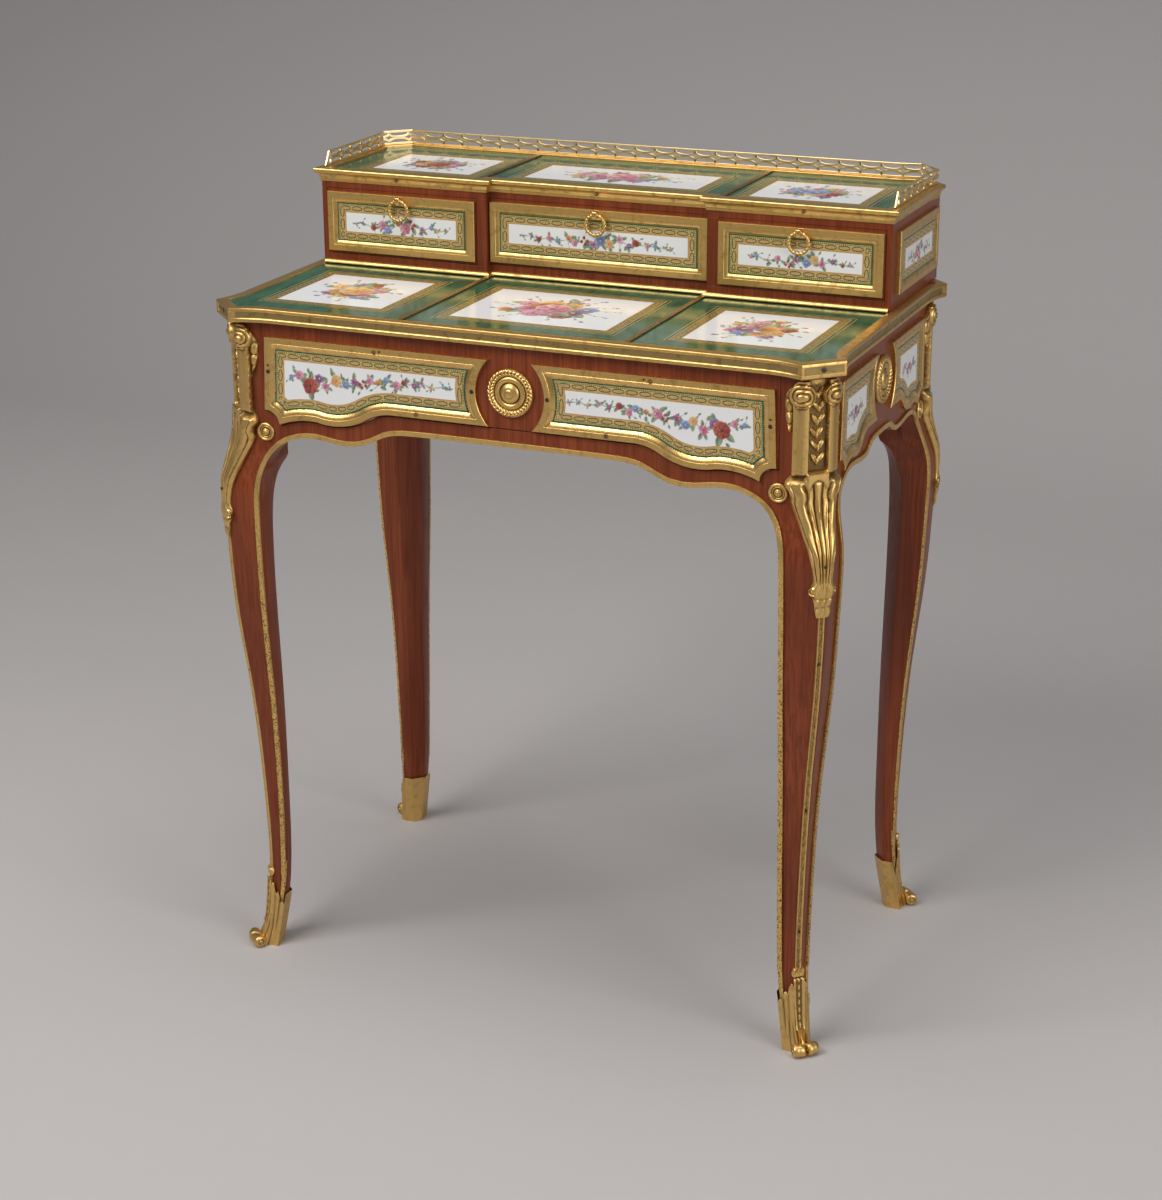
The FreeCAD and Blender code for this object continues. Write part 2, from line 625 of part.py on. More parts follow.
def whole_edge(half):
    """Both halves of a lower edge, from left to right."""
    return flipped(half)[:-1] + half


def skin(name, plane, face, side, reach):
    """Slice behind an outer face that swells like the legs, across the whole width."""
    outer = [(side * u, z) for u, z in outer_points(face)]
    back = side * (face - size("panel_thickness"))
    top = size("rim_bottom")
    outline = (lines(outer[-1], (back, outer[-1][1]), (back, top), (outer[0][0], top), outer[0])
               + curve(outer))
    return padded(name, plane, outline, f"-{reach}", reach)


def frame_lower_edge(end, flat, drop):
    """Lower edge of a frieze frame from the outer corner inwards, lowered by drop."""
    flare = size("frame_flare")
    lobe_rise = size("frame_lobe")
    bend_drop = size("frame_bend")
    corner = (end + flare, size("frame_corner") - drop)
    cusp = (end - size("frame_cusp_inset"), size("frame_cusp") - drop)
    level = size("frame_bottom") - drop
    span = cusp[0] - flat
    lobe = cusp[1] + lobe_rise
    scoop = (cusp[0] + 0.34 * (corner[0] - cusp[0]), corner[1] - flare)
    crest = (flat + 0.664 * span, lobe)
    bend = (flat + 0.234 * span, level - bend_drop)
    slack = lobe_rise / 7
    return (corner, arc(corner, scoop, cusp)
            + arc(cusp, (flat + 0.844 * span, lobe - slack), crest)
            + arc(crest, (flat + 0.43 * span, lobe - slack), bend)
            + arc(bend, (flat + 0.133 * span, level - 0.275 * bend_drop), (flat, level)))


def frieze_frame(end, flat):
    """Outline of a frieze frame to the right of the middle."""
    corner, lower = frame_lower_edge(end, flat, 0)
    inner = size("frame_inner_end")
    top = (inner, size("frame_top"))
    bottom = (inner, size("frame_bottom"))
    hollow = (size("frame_hollow"), (top[1] + bottom[1]) / 2)
    return (lines(top, (end, top[1]), corner) + lower + lines((flat, bottom[1]), bottom)
            + arc(bottom, hollow, top))


def shaped_front(name, plane, drop, ends, top, start, end):
    """Board whose lower edge follows the two frames, lowered by drop."""
    corner, lower = frame_lower_edge(size("front_frame_end"), size("front_frame_flat"), drop)
    left = (-ends, corner[1])
    right = (ends, corner[1])
    flat = (size("front_frame_flat"), size("frame_bottom") - drop)
    outline = (lines((-corner[0], corner[1]), left, (-ends, top), (ends, top), right, corner)
               + lower + lines(flat, (-flat[0], flat[1])) + reflected(lower, -1, 1))
    return padded(name, plane, outline, start, end)


def make_panels():
    """Front apron under the drawer, side panels and back panel."""
    top = size("rim_bottom")
    ends = size("post_inner_x")
    edge = whole_edge(front_edge())
    silhouette = curve(edge) + lines(edge[-1], (ends, top), (-ends, top), edge[0])
    across = padded("apron_outline", "XZ_Plane", silhouette, "frieze_y - panel_thickness",
                    "frieze_y + post_size")
    swell = skin("front_skin", "YZ_Plane", size("frieze_y"), -1, "post_inner_x")
    board = common("apron_board", across, swell)
    opening = shaped_front("drawer_opening", "XZ_Plane", size("drawer_margin") + size("apron_gap"), ends,
                           top, "frieze_y - post_size", "frieze_y + post_size")
    node(cut("front_apron", board, opening), "front_apron")
    node(mirror("back_panel", board, FRONT_BACK), "back_panel")
    edge = whole_edge(side_edge())
    ends = size("post_inner_y")
    silhouette = curve(edge) + lines(edge[-1], (ends, top), (-ends, top), edge[0])
    across = padded("side_outline", "YZ_Plane", silhouette, "frieze_x - panel_thickness",
                    "frieze_x + post_size")
    swell = skin("side_skin", "XZ_Plane", size("frieze_x"), 1, "post_inner_y")
    right = node(common("side_panel_right", across, swell), "side_panel_right")
    node(mirror("side_panel_left", right, LEFT_RIGHT), "side_panel_left")


def edging_band(half, face):
    """Strip along a lower edge and down the inner edges of two legs, seen square on."""
    leg = [(u, z) for u, z in inner_points(face)[1:-1]]
    edge = [(u, z) for u, z in half] + leg
    whole = flipped(edge)[:-1] + edge
    spline = curve(whole)[0]
    moved = []
    for u, z in whole:
        tangent = spline.tangent(spline.parameter(at(u, z)))[0]
        moved.append((u - tangent.y * size("edging_width"), z + tangent.x * size("edging_width")))
    return [spline] + lines(whole[-1], moved[-1]) + curve(list(reversed(moved))) + lines(moved[0], whole[0])


def edging_depth(face, side):
    """Thickness of the edging over a swelling outer face, seen from the end."""
    near = [(side * (u + size("seat_gap")), z) for u, z in outer_points(face)[:-1]]
    far = [(u + side * size("edging_thickness"), z) for u, z in near]
    top = size("rim_bottom")
    return (lines((far[0][0], top), (near[0][0], top), near[0]) + curve(near) + lines(near[-1], far[-1])
            + curve(list(reversed(far))) + lines(far[0], (far[0][0], top)))


def make_edgings():
    front = common("edging_front",
                   padded("edging_front_band", "XZ_Plane", edging_band(front_edge(), size("frieze_x")),
                          "post_inner_y", "half_depth + post_size"),
                   padded("edging_front_depth", "YZ_Plane", edging_depth(size("frieze_y"), -1),
                          "-half_width", "half_width"))
    right = common("edging_right",
                   padded("edging_side_band", "YZ_Plane", edging_band(side_edge(), size("frieze_y")),
                          "post_inner_x", "half_width + post_size"),
                   padded("edging_side_depth", "XZ_Plane", edging_depth(size("frieze_x"), 1),
                          "-half_depth", "half_depth"))
    node(front, "edging_front")
    node(right, "edging_right")
    node(mirror("edging_back", front, FRONT_BACK), "edging_back")
    node(mirror("edging_left", right, LEFT_RIGHT), "edging_left")


def make_runners():
    """Runners under the frieze drawer and guides beside it, held by the posts."""
    length = ("-(drawer_front_back - 2)", "frieze_y - panel_thickness")
    right = [slab("runner_right", ("post_inner_x - runner_width", "post_inner_x"), length,
                  ("drawer_box_bottom - slide_gap / 2 - runner_height",
                   "drawer_box_bottom - slide_gap / 2")),
             slab("guide_right", ("post_inner_x - guide_width", "post_inner_x"), length,
                  ("drawer_box_bottom - slide_gap / 2", "drawer_box_bottom + guide_height"))]
    left = [mirror(piece.Name.replace("right", "left"), piece, LEFT_RIGHT) for piece in right]
    group("drawer_runners", right + left)


def eared_quarter(mid, ear, cant, run, reach):
    """Quarter outline from the middle of the right side to the middle of the back, moved out by reach."""
    shift = (DIAGONAL - 1) * reach
    side = (mid[0] + reach, ear[1] - cant - run)
    ear_side = (ear[0] + reach, ear[1] - cant + shift)
    ear_back = (ear[0] - cant + shift, ear[1] + reach)
    back = (ear[0] - cant - run, mid[1] + reach)
    bow_side = (side[0] + 0.28 * (ear_side[0] - side[0]), (side[1] + ear_side[1]) / 2)
    bow_back = ((back[0] + ear_back[0]) / 2, back[1] + 0.28 * (ear_back[1] - back[1]))
    corner = arc(side, bow_side, ear_side) + lines(ear_side, ear_back) + arc(ear_back, bow_back, back)
    return side, corner, back


def rim_outline(reach):
    """Outline of the desk top with its four eared and canted corners."""
    mid = (size("rim_mid_x"), size("rim_mid_y"))
    ear = (size("half_width"), size("half_depth"))
    side, corner, back = eared_quarter(mid, ear, size("rim_cant"), size("rim_flare_run"), reach)
    outline = []
    for across in (1, -1):
        for along in (1, -1):
            outline += reflected(corner, across, along)
        outline += lines((across * side[0], side[1]), (across * side[0], -side[1]))
    for along in (1, -1):
        outline += lines((back[0], along * back[1]), (-back[0], along * back[1]))
    return outline


def make_desk_top():
    inner = -size("rim_width")
    rim = doc.addObject("PartDesign::Body", "desk_rim")
    ring = rim_outline(0) + rim_outline(inner)
    pad_on(rim, "XY_Plane", ring, "rim_bottom", "rim_bottom + rim_bead")
    pad_on(rim, "XY_Plane", rim_outline(-size("rim_sink")) + rim_outline(inner), "rim_bottom + rim_bead",
           "rim_top - rim_bead")
    pad_on(rim, "XY_Plane", ring, "rim_top - rim_bead", "rim_top")
    node(rim, "desk_rim")
    field = inner - size("fit_gap")
    board = padded("top_board", "XY_Plane", rim_outline(field), "rim_bottom", "rim_top")
    recess = fused("plaque_recess",
                   slab("recess_whole", ("-half_width", "half_width"), ("-half_depth", "case_front"),
                        ("recess_floor", "rim_top + plaque_sink")),
                   slab("recess_middle", ("-bay_half", "bay_half"), ("-half_depth", "middle_front"),
                        ("recess_floor", "rim_top + plaque_sink")))
    node(cut("desk_top", board, recess), "desk_top")
    across = padded("plaque_field", "XY_Plane", rim_outline(field), "recess_floor",
                    "recess_floor + flat_plaque")
    height = ("recess_floor", "recess_floor + flat_plaque")
    right_slab = slab("right_plaque_slab", ("desk_bar + bar_width / 2 + fit_gap", "half_width"),
                      ("-half_depth", "case_front - back_bar - fit_gap"), height)
    right = node(common("desk_plaque_right", across, right_slab), "desk_plaque_right")
    node(mirror("desk_plaque_left", right, LEFT_RIGHT), "desk_plaque_left")
    node(slab("desk_plaque_middle",
              ("-(desk_bar - bar_width / 2 - fit_gap)", "desk_bar - bar_width / 2 - fit_gap"),
              ("-(field_y - 2 * fit_gap)", "middle_front - back_bar - fit_gap"), height),
         "desk_plaque_middle")
    rise = ("recess_floor", "recess_floor + bar_height")
    bar = slab("desk_bar_right", ("desk_bar - bar_width / 2", "desk_bar + bar_width / 2"),
               ("-(field_y - fit_gap)", "middle_front"), rise)
    foot = slab("foot_bar_right", ("desk_bar + bar_width / 2", "field_x - fit_gap"),
                ("case_front - back_bar", "case_front"), rise)
    middle = slab("foot_bar_middle", ("-(desk_bar - bar_width / 2)", "desk_bar - bar_width / 2"),
                  ("middle_front - back_bar", "middle_front"), rise)
    pairs = [bar, foot]
    pairs += [mirror(piece.Name.replace("right", "left"), piece, LEFT_RIGHT) for piece in pairs]
    group("desk_bars", pairs + [middle])


def bay_outline(reach, back):
    """Plan of the case with its middle bay standing back, moved out by reach, with a plain back."""
    x = size("case_inner_x")
    front = size("case_front") - reach
    middle = size("middle_front") - reach
    step = size("bay_half") - reach
    return loop((-x, front), (-step, front), (-step, middle), (step, middle), (step, front), (x, front),
                (x, back), (-x, back))


def cornice_back(reach):
    """Back half of the cornice's plan with its eared corners, and where it starts on the right."""
    mid = (size("case_x"), size("case_back"))
    ear = (mid[0] + size("case_ear"), mid[1] + size("case_ear"))
    side, corner, back = eared_quarter(mid, ear, size("case_cant"), size("case_flare_run"), reach)
    return side, corner + lines(back, (-back[0], back[1])) + reflected(corner, -1, 1)


def cornice_outline(reach):
    """Plan of the cornice, moved out from the case by reach, with its middle bay standing back."""
    side, back = cornice_back(reach)
    front = size("case_front") - reach
    middle = size("middle_front") - reach
    step = size("bay_half") - reach
    face = lines((-side[0], side[1]), (-side[0], front), (-step, front), (-step, middle), (step, middle),
                 (step, front), (side[0], front), side)
    return face + back


def gallery_outline(reach):
    """Plan of the gallery as a closed shape that runs out in front of the case."""
    side, back = cornice_back(reach)
    return lines((-side[0], side[1]), (-side[0], 0), (side[0], 0), side) + back


def make_case():
    back = size("case_back")
    floor = padded("case_floor", "XY_Plane", bay_outline(0, back), "rim_top", "bay_bottom")
    node(floor, "case_floor")
    side = slab("case_side_right", ("case_inner_x", "case_x"), ("case_front", "case_back"),
                ("rim_top", "cornice_bottom"))
    node(side, "case_side_right")
    node(mirror("case_side_left", side, LEFT_RIGHT), "case_side_left")
    node(slab("case_back", ("-case_inner_x", "case_inner_x"), ("case_back - case_back_board", "case_back"),
              ("bay_bottom", "bay_top")), "case_back")
    partition = slab("partition_right", ("bay_half", "side_bay_inner"),
                     ("case_front", "case_back - case_back_board"), ("bay_bottom", "bay_top"))
    group("case_partitions", [partition, mirror("partition_left", partition, LEFT_RIGHT)])
    inner = -(size("cornice_inset") + size("fit_gap"))
    rail = padded("case_top_rail", "XY_Plane", bay_outline(0, back), "bay_top", "cornice_bottom")
    raised = padded("case_top_raised", "XY_Plane", cornice_outline(inner), "cornice_bottom",
                    "top_plaque_floor")
    node(fused("case_top", rail, raised), "case_top")


def make_cornice():
    inner = cornice_outline(-size("cornice_inset"))
    cornice = doc.addObject("PartDesign::Body", "cornice")
    level = "cornice_bottom"
    for height, reach in (("cornice_foot", "cornice_foot_reach"), ("cornice_cove", "cornice_cove_reach"),
                          ("cornice_lip", "cornice_lip_reach")):
        upper = f"{level} + {height}"
        pad_on(cornice, "XY_Plane", cornice_outline(size(reach)) + inner, level, upper)
        level = upper
    node(cornice, "cornice")


def make_top_plaques():
    inset_edge = -(size("cornice_inset") + size("fit_gap"))
    field = padded("top_field", "XY_Plane", cornice_outline(inset_edge), "top_plaque_floor",
                   "top_plaque_floor + flat_plaque")
    height = ("top_plaque_floor", "top_plaque_floor + flat_plaque")
    depth = ("0", "half_depth")
    right = common("top_plaque_right", field,
                   slab("top_plaque_right_slab", ("case_bar + bar_width / 2 + fit_gap", "half_width"),
                        depth, height))
    middle = common("top_plaque_middle", field,
                    slab("top_plaque_middle_slab",
                         ("-(case_bar - bar_width / 2 - fit_gap)", "case_bar - bar_width / 2 - fit_gap"),
                         depth, height))
    group("top_plaques", [right, mirror("top_plaque_left", right, LEFT_RIGHT), middle])
    bar = common("top_bar_right",
                 padded("top_bar_field", "XY_Plane", cornice_outline(inset_edge), "top_plaque_floor",
                        "top_plaque_floor + bar_height"),
                 slab("top_bar_slab", ("case_bar - bar_width / 2", "case_bar + bar_width / 2"), depth,
                      ("top_plaque_floor", "top_plaque_floor + bar_height")))
    group("top_bars", [bar, mirror("top_bar_left", bar, LEFT_RIGHT)])


def lattice(centres, low, high):
    """Openings of the gallery: a lozenge at each centre and half moons between them."""
    half = size("gallery_pitch") / 2
    bar = size("gallery_bar")
    middle = (low + high) / 2
    tall = (high - low) / 2 - bar
    wide = half - 2 * bar
    moon = half - 2.2 * bar
    drop = (high - low) / 2 - 1.4 * bar
    openings = []
    for centre in centres:
        openings += loop((centre - 0.62 * wide, middle), (centre, middle + tall),
                         (centre + 0.62 * wide, middle), (centre, middle - tall))
        for edge, way in ((low, 1), (high, -1)):
            left = (centre + half - 0.72 * moon, edge)
            right = (centre + half + 0.72 * moon, edge)
            openings += arc(left, (centre + half, edge + way * 0.8 * drop), right) + lines(right, left)
    return openings


def make_gallery():
    """Pierced gallery round three sides of the case's top, between two rails."""
    reach = size("cornice_lip_reach") - size("gallery_inset")
    thickness = size("gallery_thickness")
    low = size("cornice_top")
    high = size("total_height")
    rail = size("gallery_rail")

    whole = padded("gallery_outer", "XY_Plane", gallery_outline(reach), "cornice_top", "total_height")
    hollow = padded("gallery_hollow", "XY_Plane", gallery_outline(reach - thickness), "cornice_top",
                    "total_height")
    screen = cut("gallery_screen", whole, hollow)
    foot = size("gallery_front")
    lean = size("gallery_rake")
    far = size("desk_depth")
    ends = padded("gallery_ends", "YZ_Plane",
                  loop((foot, low), (far, low), (far, high), (foot + lean, high)),
                  "-half_width", "half_width")
    screen = common("gallery_wall", screen, ends)
    pitch = size("gallery_pitch")
    back_run = size("case_x") - size("case_cant") - size("case_flare_run")
    count = int(back_run / pitch)
    back_centres = [step * pitch for step in range(-count, count + 1)]
    back_holes = padded("gallery_back_holes", "XZ_Plane",
                        lattice(back_centres[:-1], low + rail, high - rail),
                        "-half_depth - post_size", "-case_front - post_size")
    side_start = foot + lean + pitch
    side_end = size("case_back") - size("case_cant") - size("case_flare_run")
    side_count = int((side_end - side_start) / pitch) + 1
    side_centres = [side_start + step * pitch for step in range(side_count)]
    side_holes = padded("gallery_side_holes", "YZ_Plane", lattice(side_centres, low + rail, high - rail),
                        "-half_width", "half_width")
    pierced = cut("gallery_back_pierced", screen, back_holes)
    node(cut("gallery", pierced, side_holes), "gallery")


def upright_frame(name, plane, outline, start, band, thickness):
    """Flat bronze frame round a plaque, with a sunk inner edge."""
    bevel = size("frame_bevel")
    body = doc.addObject("PartDesign::Body", name)
    floor = f"{start} + {thickness} - frame_bevel_depth"
    pad_on(body, plane, outline + inset(outline, band), start, floor)
    pad_on(body, plane, outline + inset(outline, band - bevel), floor, f"{start} + {thickness}")
    return body


def upright_plaque(name, plane, outline, start, band):
    """Porcelain plaque inside a frame."""
    return padded(name, plane, inset(outline, band + size("fit_gap")), start, f"{start} + plaque_thickness")


def make_side_frames():
    outline = frieze_frame(size("side_frame_end"), size("side_frame_flat"))
    band = size("frame_band")
    frame = upright_frame("side_frame_back_right", "YZ_Plane", outline, "frieze_x", band, "frame_thickness")
    plaque = upright_plaque("side_plaque_back_right", "YZ_Plane", outline, "frieze_x", band)
    for name, master in (("side_frame", frame), ("side_plaque", plaque)):
        back_left = mirror(name + "_back_left", master, LEFT_RIGHT)
        group(name + "s", [master, back_left, mirror(name + "_front_right", master, FRONT_BACK),
                           mirror(name + "_front_left", back_left, FRONT_BACK)])


FACING_FRONT = FreeCAD.Rotation(FreeCAD.Vector(1, 0, 0), 90)
FACING_RIGHT = FreeCAD.Rotation(FreeCAD.Vector(0, 1, 0), 90)


def rosette_profile(radius, relief):
    """Radius and height of a turned rosette: rim, hollow, ring and round button."""
    button = 0.3 * radius
    rise = 0.4 * relief
    ball = (button ** 2 + rise ** 2) / (2 * rise)
    shoulder = (button / 2, relief - ball + math.sqrt(ball ** 2 - (button / 2) ** 2))
    edge = (radius, 0.4 * relief)
    hollow = (0.72 * radius, 0.4 * relief)
    ring = (0.44 * radius, 0.6 * relief)
    return (lines((0, 0), (radius, 0), edge)
            + arc(edge, (0.87 * radius, 0.66 * relief), hollow)
            + arc(hollow, (0.58 * radius, 0.3 * relief), ring)
            + lines(ring, (button, 0.6 * relief))
            + arc((button, 0.6 * relief), shoulder, (0, relief))
            + lines((0, relief), (0, 0)))


def make_rosettes():
    profile = rosette_profile(size("rosette_radius"), size("rosette_relief"))
    place = FreeCAD.Placement(FreeCAD.Vector(size("frieze_x"), 0, size("rosette_height")), FACING_RIGHT)
    right = turned("side_rosette_right", profile, place)
    group("side_rosettes", [right, mirror("side_rosette_left", right, LEFT_RIGHT)])
    profile = rosette_profile(size("boss_radius"), size("boss_relief"))
    height = size("boss_height")
    front_seat = FreeCAD.Vector(size("post_inner_x"), -size("frieze_y"), height)
    side_seat = FreeCAD.Vector(size("frieze_x"), -size("post_inner_y"), height)
    front = turned("boss_front_right", profile, FreeCAD.Placement(front_seat, FACING_FRONT))
    side = turned("boss_side_right", profile, FreeCAD.Placement(side_seat, FACING_RIGHT))
    bosses = [front, mirror("boss_front_left", front, LEFT_RIGHT)]
    group("bosses", bosses + at_corners("boss_side", side))


def screw(name, x, y, z, turn):
    """Head of one screw, standing on the face that it fastens."""
    head = doc.addObject("Part::Cylinder", name)
    head.setExpression("Radius", cells("screw_radius"))
    head.setExpression("Height", cells("screw_relief"))
    head.Placement = FreeCAD.Placement(FreeCAD.Vector(x, y, z), turn)
    return head


def make_screws():
    """Screw heads on the rim's face, the rim's cants and the cornice."""
    face = (size("rim_bottom") + size("rim_top")) / 2
    rim_y = -(size("rim_mid_y") - size("rim_sink"))
    cornice_z = size("cornice_bottom") + size("cornice_foot") + size("cornice_cove") / 2
    cornice_y = size("case_front") - size("cornice_cove_reach")
    heads = [screw("rim_screw_front", 0, rim_y, face, FACING_FRONT),
             screw("cornice_screw_middle", 0, cornice_y + size("bay_recess"), cornice_z, FACING_FRONT)]
    side_middle = (size("side_bay_inner") + size("case_x")) / 2
    rim_x = 1.8 * size("desk_bar")
    for side, word in ((1, "right"), (-1, "left")):
        heads.append(screw("cornice_screw_" + word, side * side_middle, cornice_y, cornice_z, FACING_FRONT))
        heads.append(screw("rim_screw_front_" + word, side * rim_x, rim_y, face, FACING_FRONT))
    group("mount_screws", heads)


def make_frieze_drawer():
    front = shaped_front("frieze_drawer_front", "XZ_Plane", size("drawer_margin"), size("drawer_front_x"),
                         size("drawer_front_top"), "drawer_front_back", "frieze_y")
    node(front, "frieze_drawer_front")
    height = ("drawer_box_bottom", "drawer_box_top")
    length = ("-drawer_front_back", "drawer_box_end")
    right = slab("frieze_drawer_right", ("drawer_box_x - drawer_board", "drawer_box_x"), length, height)
    inner = "drawer_box_x - drawer_board"
    back = slab("frieze_drawer_back", (f"-({inner})", inner),
                ("drawer_box_end - drawer_board", "drawer_box_end"), height)
    floor_top = "drawer_box_bottom + drawer_floor"
    bottom = slab("frieze_drawer_bottom", (f"-({inner})", inner),
                  ("-drawer_front_back", "drawer_box_end - drawer_board"), ("drawer_box_bottom", floor_top))
    group("frieze_drawer_box", [right, mirror("frieze_drawer_left", right, LEFT_RIGHT), back, bottom])
    node(slab("drawer_lining", (f"-({inner} - fit_gap)", f"{inner} - fit_gap"),
              ("-drawer_front_back + fit_gap", "drawer_box_end - drawer_board - fit_gap"),
              (floor_top, f"{floor_top} + lining_thickness")), "drawer_lining")
    outline = frieze_frame(size("front_frame_end"), size("front_frame_flat"))
    band = size("frame_band")
    frame = upright_frame("frieze_frame_right", "XZ_Plane", outline, "frieze_y", band, "frame_thickness")
    plaque = upright_plaque("frieze_plaque_right", "XZ_Plane", outline, "frieze_y", band)
    for name, master in (("frieze_frame", frame), ("frieze_plaque", plaque)):
        node(master, name + "_right")
        node(mirror(name + "_left", master, LEFT_RIGHT), name + "_left")
    place = FreeCAD.Placement(FreeCAD.Vector(0, -size("frieze_y"), size("rosette_height")), FACING_FRONT)
    profile = rosette_profile(size("rosette_radius"), size("rosette_relief"))
    node(turned("frieze_rosette", profile, place), "frieze_rosette")
    heads = []
    front_y = -(size("frieze_y") + size("frame_thickness"))
    inset_z = (band - size("frame_bevel")) / 2
    for side, word in ((1, "right"), (-1, "left")):
        middle = side * (size("front_frame_end") + size("frame_inner_end")) / 2
        upper = size("frame_top") - inset_z
        lower = size("frame_bottom") + inset_z
        inner_x = side * 0.8 * size("front_frame_flat")
        heads.append(screw("frieze_screw_top_" + word, middle, front_y, upper, FACING_FRONT))
        heads.append(screw("frieze_screw_low_" + word, inner_x, front_y, lower, FACING_FRONT))
    group("frieze_screws", heads)


def make_small_drawer(word, low, high, face, front_x):
    """Upper drawer between two ends of its bay: box, frame with the pull's lug, plaque and ring.

    low, high and face are formulas, and front_x gives the ends of the drawer front as numbers.
    """
    bottom = "bay_bottom + slide_gap"
    top = "bay_top - slide_gap"
    back = f"{face} + small_front_thickness"
    left = f"{low} + slide_gap"
    right = f"{high} - slide_gap"
    side_top = "bay_top - small_drawer_top_gap"
    boards = [
        slab(word + "_front_board", (left, right), (face, back), (bottom, top)),
        slab(word + "_left_board", (left, f"{left} + small_board"), (back, "small_drawer_end"),
             (bottom, side_top)),
        slab(word + "_right_board", (f"{right} - small_board", right), (back, "small_drawer_end"),
             (bottom, side_top)),
        slab(word + "_back_board", (f"{left} + small_board", f"{right} - small_board"),
             ("small_drawer_end - small_board", "small_drawer_end"), (bottom, side_top)),
        slab(word + "_bottom_board", (f"{left} + small_board", f"{right} - small_board"),
             (back, "small_drawer_end - small_board"), (bottom, f"{bottom} + small_board")),
    ]
    group(word + "_drawer_box", boards)
    end_margin = size("slide_gap") + size("small_frame_margin_side")
    margin = size("slide_gap") + size("small_frame_margin_top")
    frame_top = size("bay_top") - margin
    outline = rectangle((front_x[0] + end_margin, size("bay_bottom") + margin),
                        (front_x[1] - end_margin, frame_top))
    band = size("small_frame_band")
    start = f"-({face})"
    frame = upright_frame(word + "_frame", "XZ_Plane", outline, start, band, "small_frame_thickness")
    node(upright_plaque(word + "_drawer_plaque", "XZ_Plane", outline, start, band), word + "_drawer_plaque")
    centre = sum(front_x) / 2
    pivot_z = frame_top - size("pull_drop")
    front_y = {"case_front": size("case_front"), "middle_front": size("middle_front")}[face]
    pivot_y = front_y - size("ring_reach")
    hole = size("ring_wire") + size("ring_clearance")
    nose = hole + size("lug_wall")
    lug_back = front_y - size("small_frame_thickness")
    profile = (lines((pivot_y, pivot_z + nose), (lug_back, pivot_z + nose), (lug_back, pivot_z - nose),
                     (pivot_y, pivot_z - nose))
               + arc((pivot_y, pivot_z - nose), (pivot_y - nose, pivot_z), (pivot_y, pivot_z + nose))
               + [Part.Circle(at(pivot_y, pivot_z), FreeCAD.Vector(0, 0, 1), hole)])
    lug = padded(word + "_lug", "YZ_Plane", profile, "-lug_width / 2", "lug_width / 2",
                 FreeCAD.Placement(FreeCAD.Vector(centre, 0, 0), FreeCAD.Rotation()))
    group(word + "_drawer_frame", [frame, lug])
    ring = doc.addObject("Part::Torus", word + "_pull_ring")
    ring.setExpression("Radius1", cells("ring_radius"))
    ring.setExpression("Radius2", cells("ring_wire"))
    ring_centre = FreeCAD.Vector(centre, pivot_y, pivot_z - size("ring_radius"))
    ring.Placement = FreeCAD.Placement(ring_centre, FACING_FRONT)
    node(ring, word + "_pull_ring")


def make_small_drawers():
    inner = size("side_bay_inner")
    outer = size("case_inner_x")
    half = size("bay_half")
    make_small_drawer("left", "-case_inner_x", "-side_bay_inner", "case_front", (-outer, -inner))
    make_small_drawer("middle", "-bay_half", "bay_half", "middle_front", (-half, half))
    make_small_drawer("right", "side_bay_inner", "case_inner_x", "case_front", (inner, outer))


def make_case_side_frames():
    margin = size("small_frame_margin_top") + size("slide_gap")
    outline = rectangle((size("case_side_frame_start"), size("bay_bottom") + margin),
                        (size("case_side_frame_end"), size("bay_top") - margin))
    band = size("small_frame_band")
    frame = upright_frame("case_frame_right", "YZ_Plane", outline, "case_x", band, "small_frame_thickness")
    plaque = upright_plaque("case_plaque_right", "YZ_Plane", outline, "case_x", band)
    group("case_side_frames", [frame, mirror("case_frame_left", frame, LEFT_RIGHT)])
    group("case_side_plaques", [plaque, mirror("case_plaque_left", plaque, LEFT_RIGHT)])


leg = make_legs()
make_corner_strips()
make_knee_mounts()
make_sabots(leg)
make_panels()
make_edgings()
make_runners()
make_desk_top()
make_case()
make_cornice()
make_top_plaques()
make_gallery()
make_side_frames()
make_case_side_frames()
make_rosettes()
make_screws()
make_frieze_drawer()
make_small_drawers()
doc.recompute()

failed = [thing.Name for thing in doc.Objects if {"Invalid", "Error"} & set(thing.State)]
failed += [thing.Label for thing in nodes if thing.Shape.isNull() or not thing.Shape.isValid()]
if failed:
    raise RuntimeError("not built: " + ", ".join(sorted(set(failed))))

os.makedirs("parts", exist_ok=True)
for thing in nodes:
    thing.Shape.exportStep(f"parts/{thing.Label}.step")
print(len(nodes), "sub-parts written")
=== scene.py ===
"""Looks of a bonheur du jour: veneered carcass, gilt bronze mounts and painted porcelain plaques."""
import math

import bpy
import numpy as np
from mathutils import Matrix, Vector
from mathutils.geometry import delaunay_2d_cdt


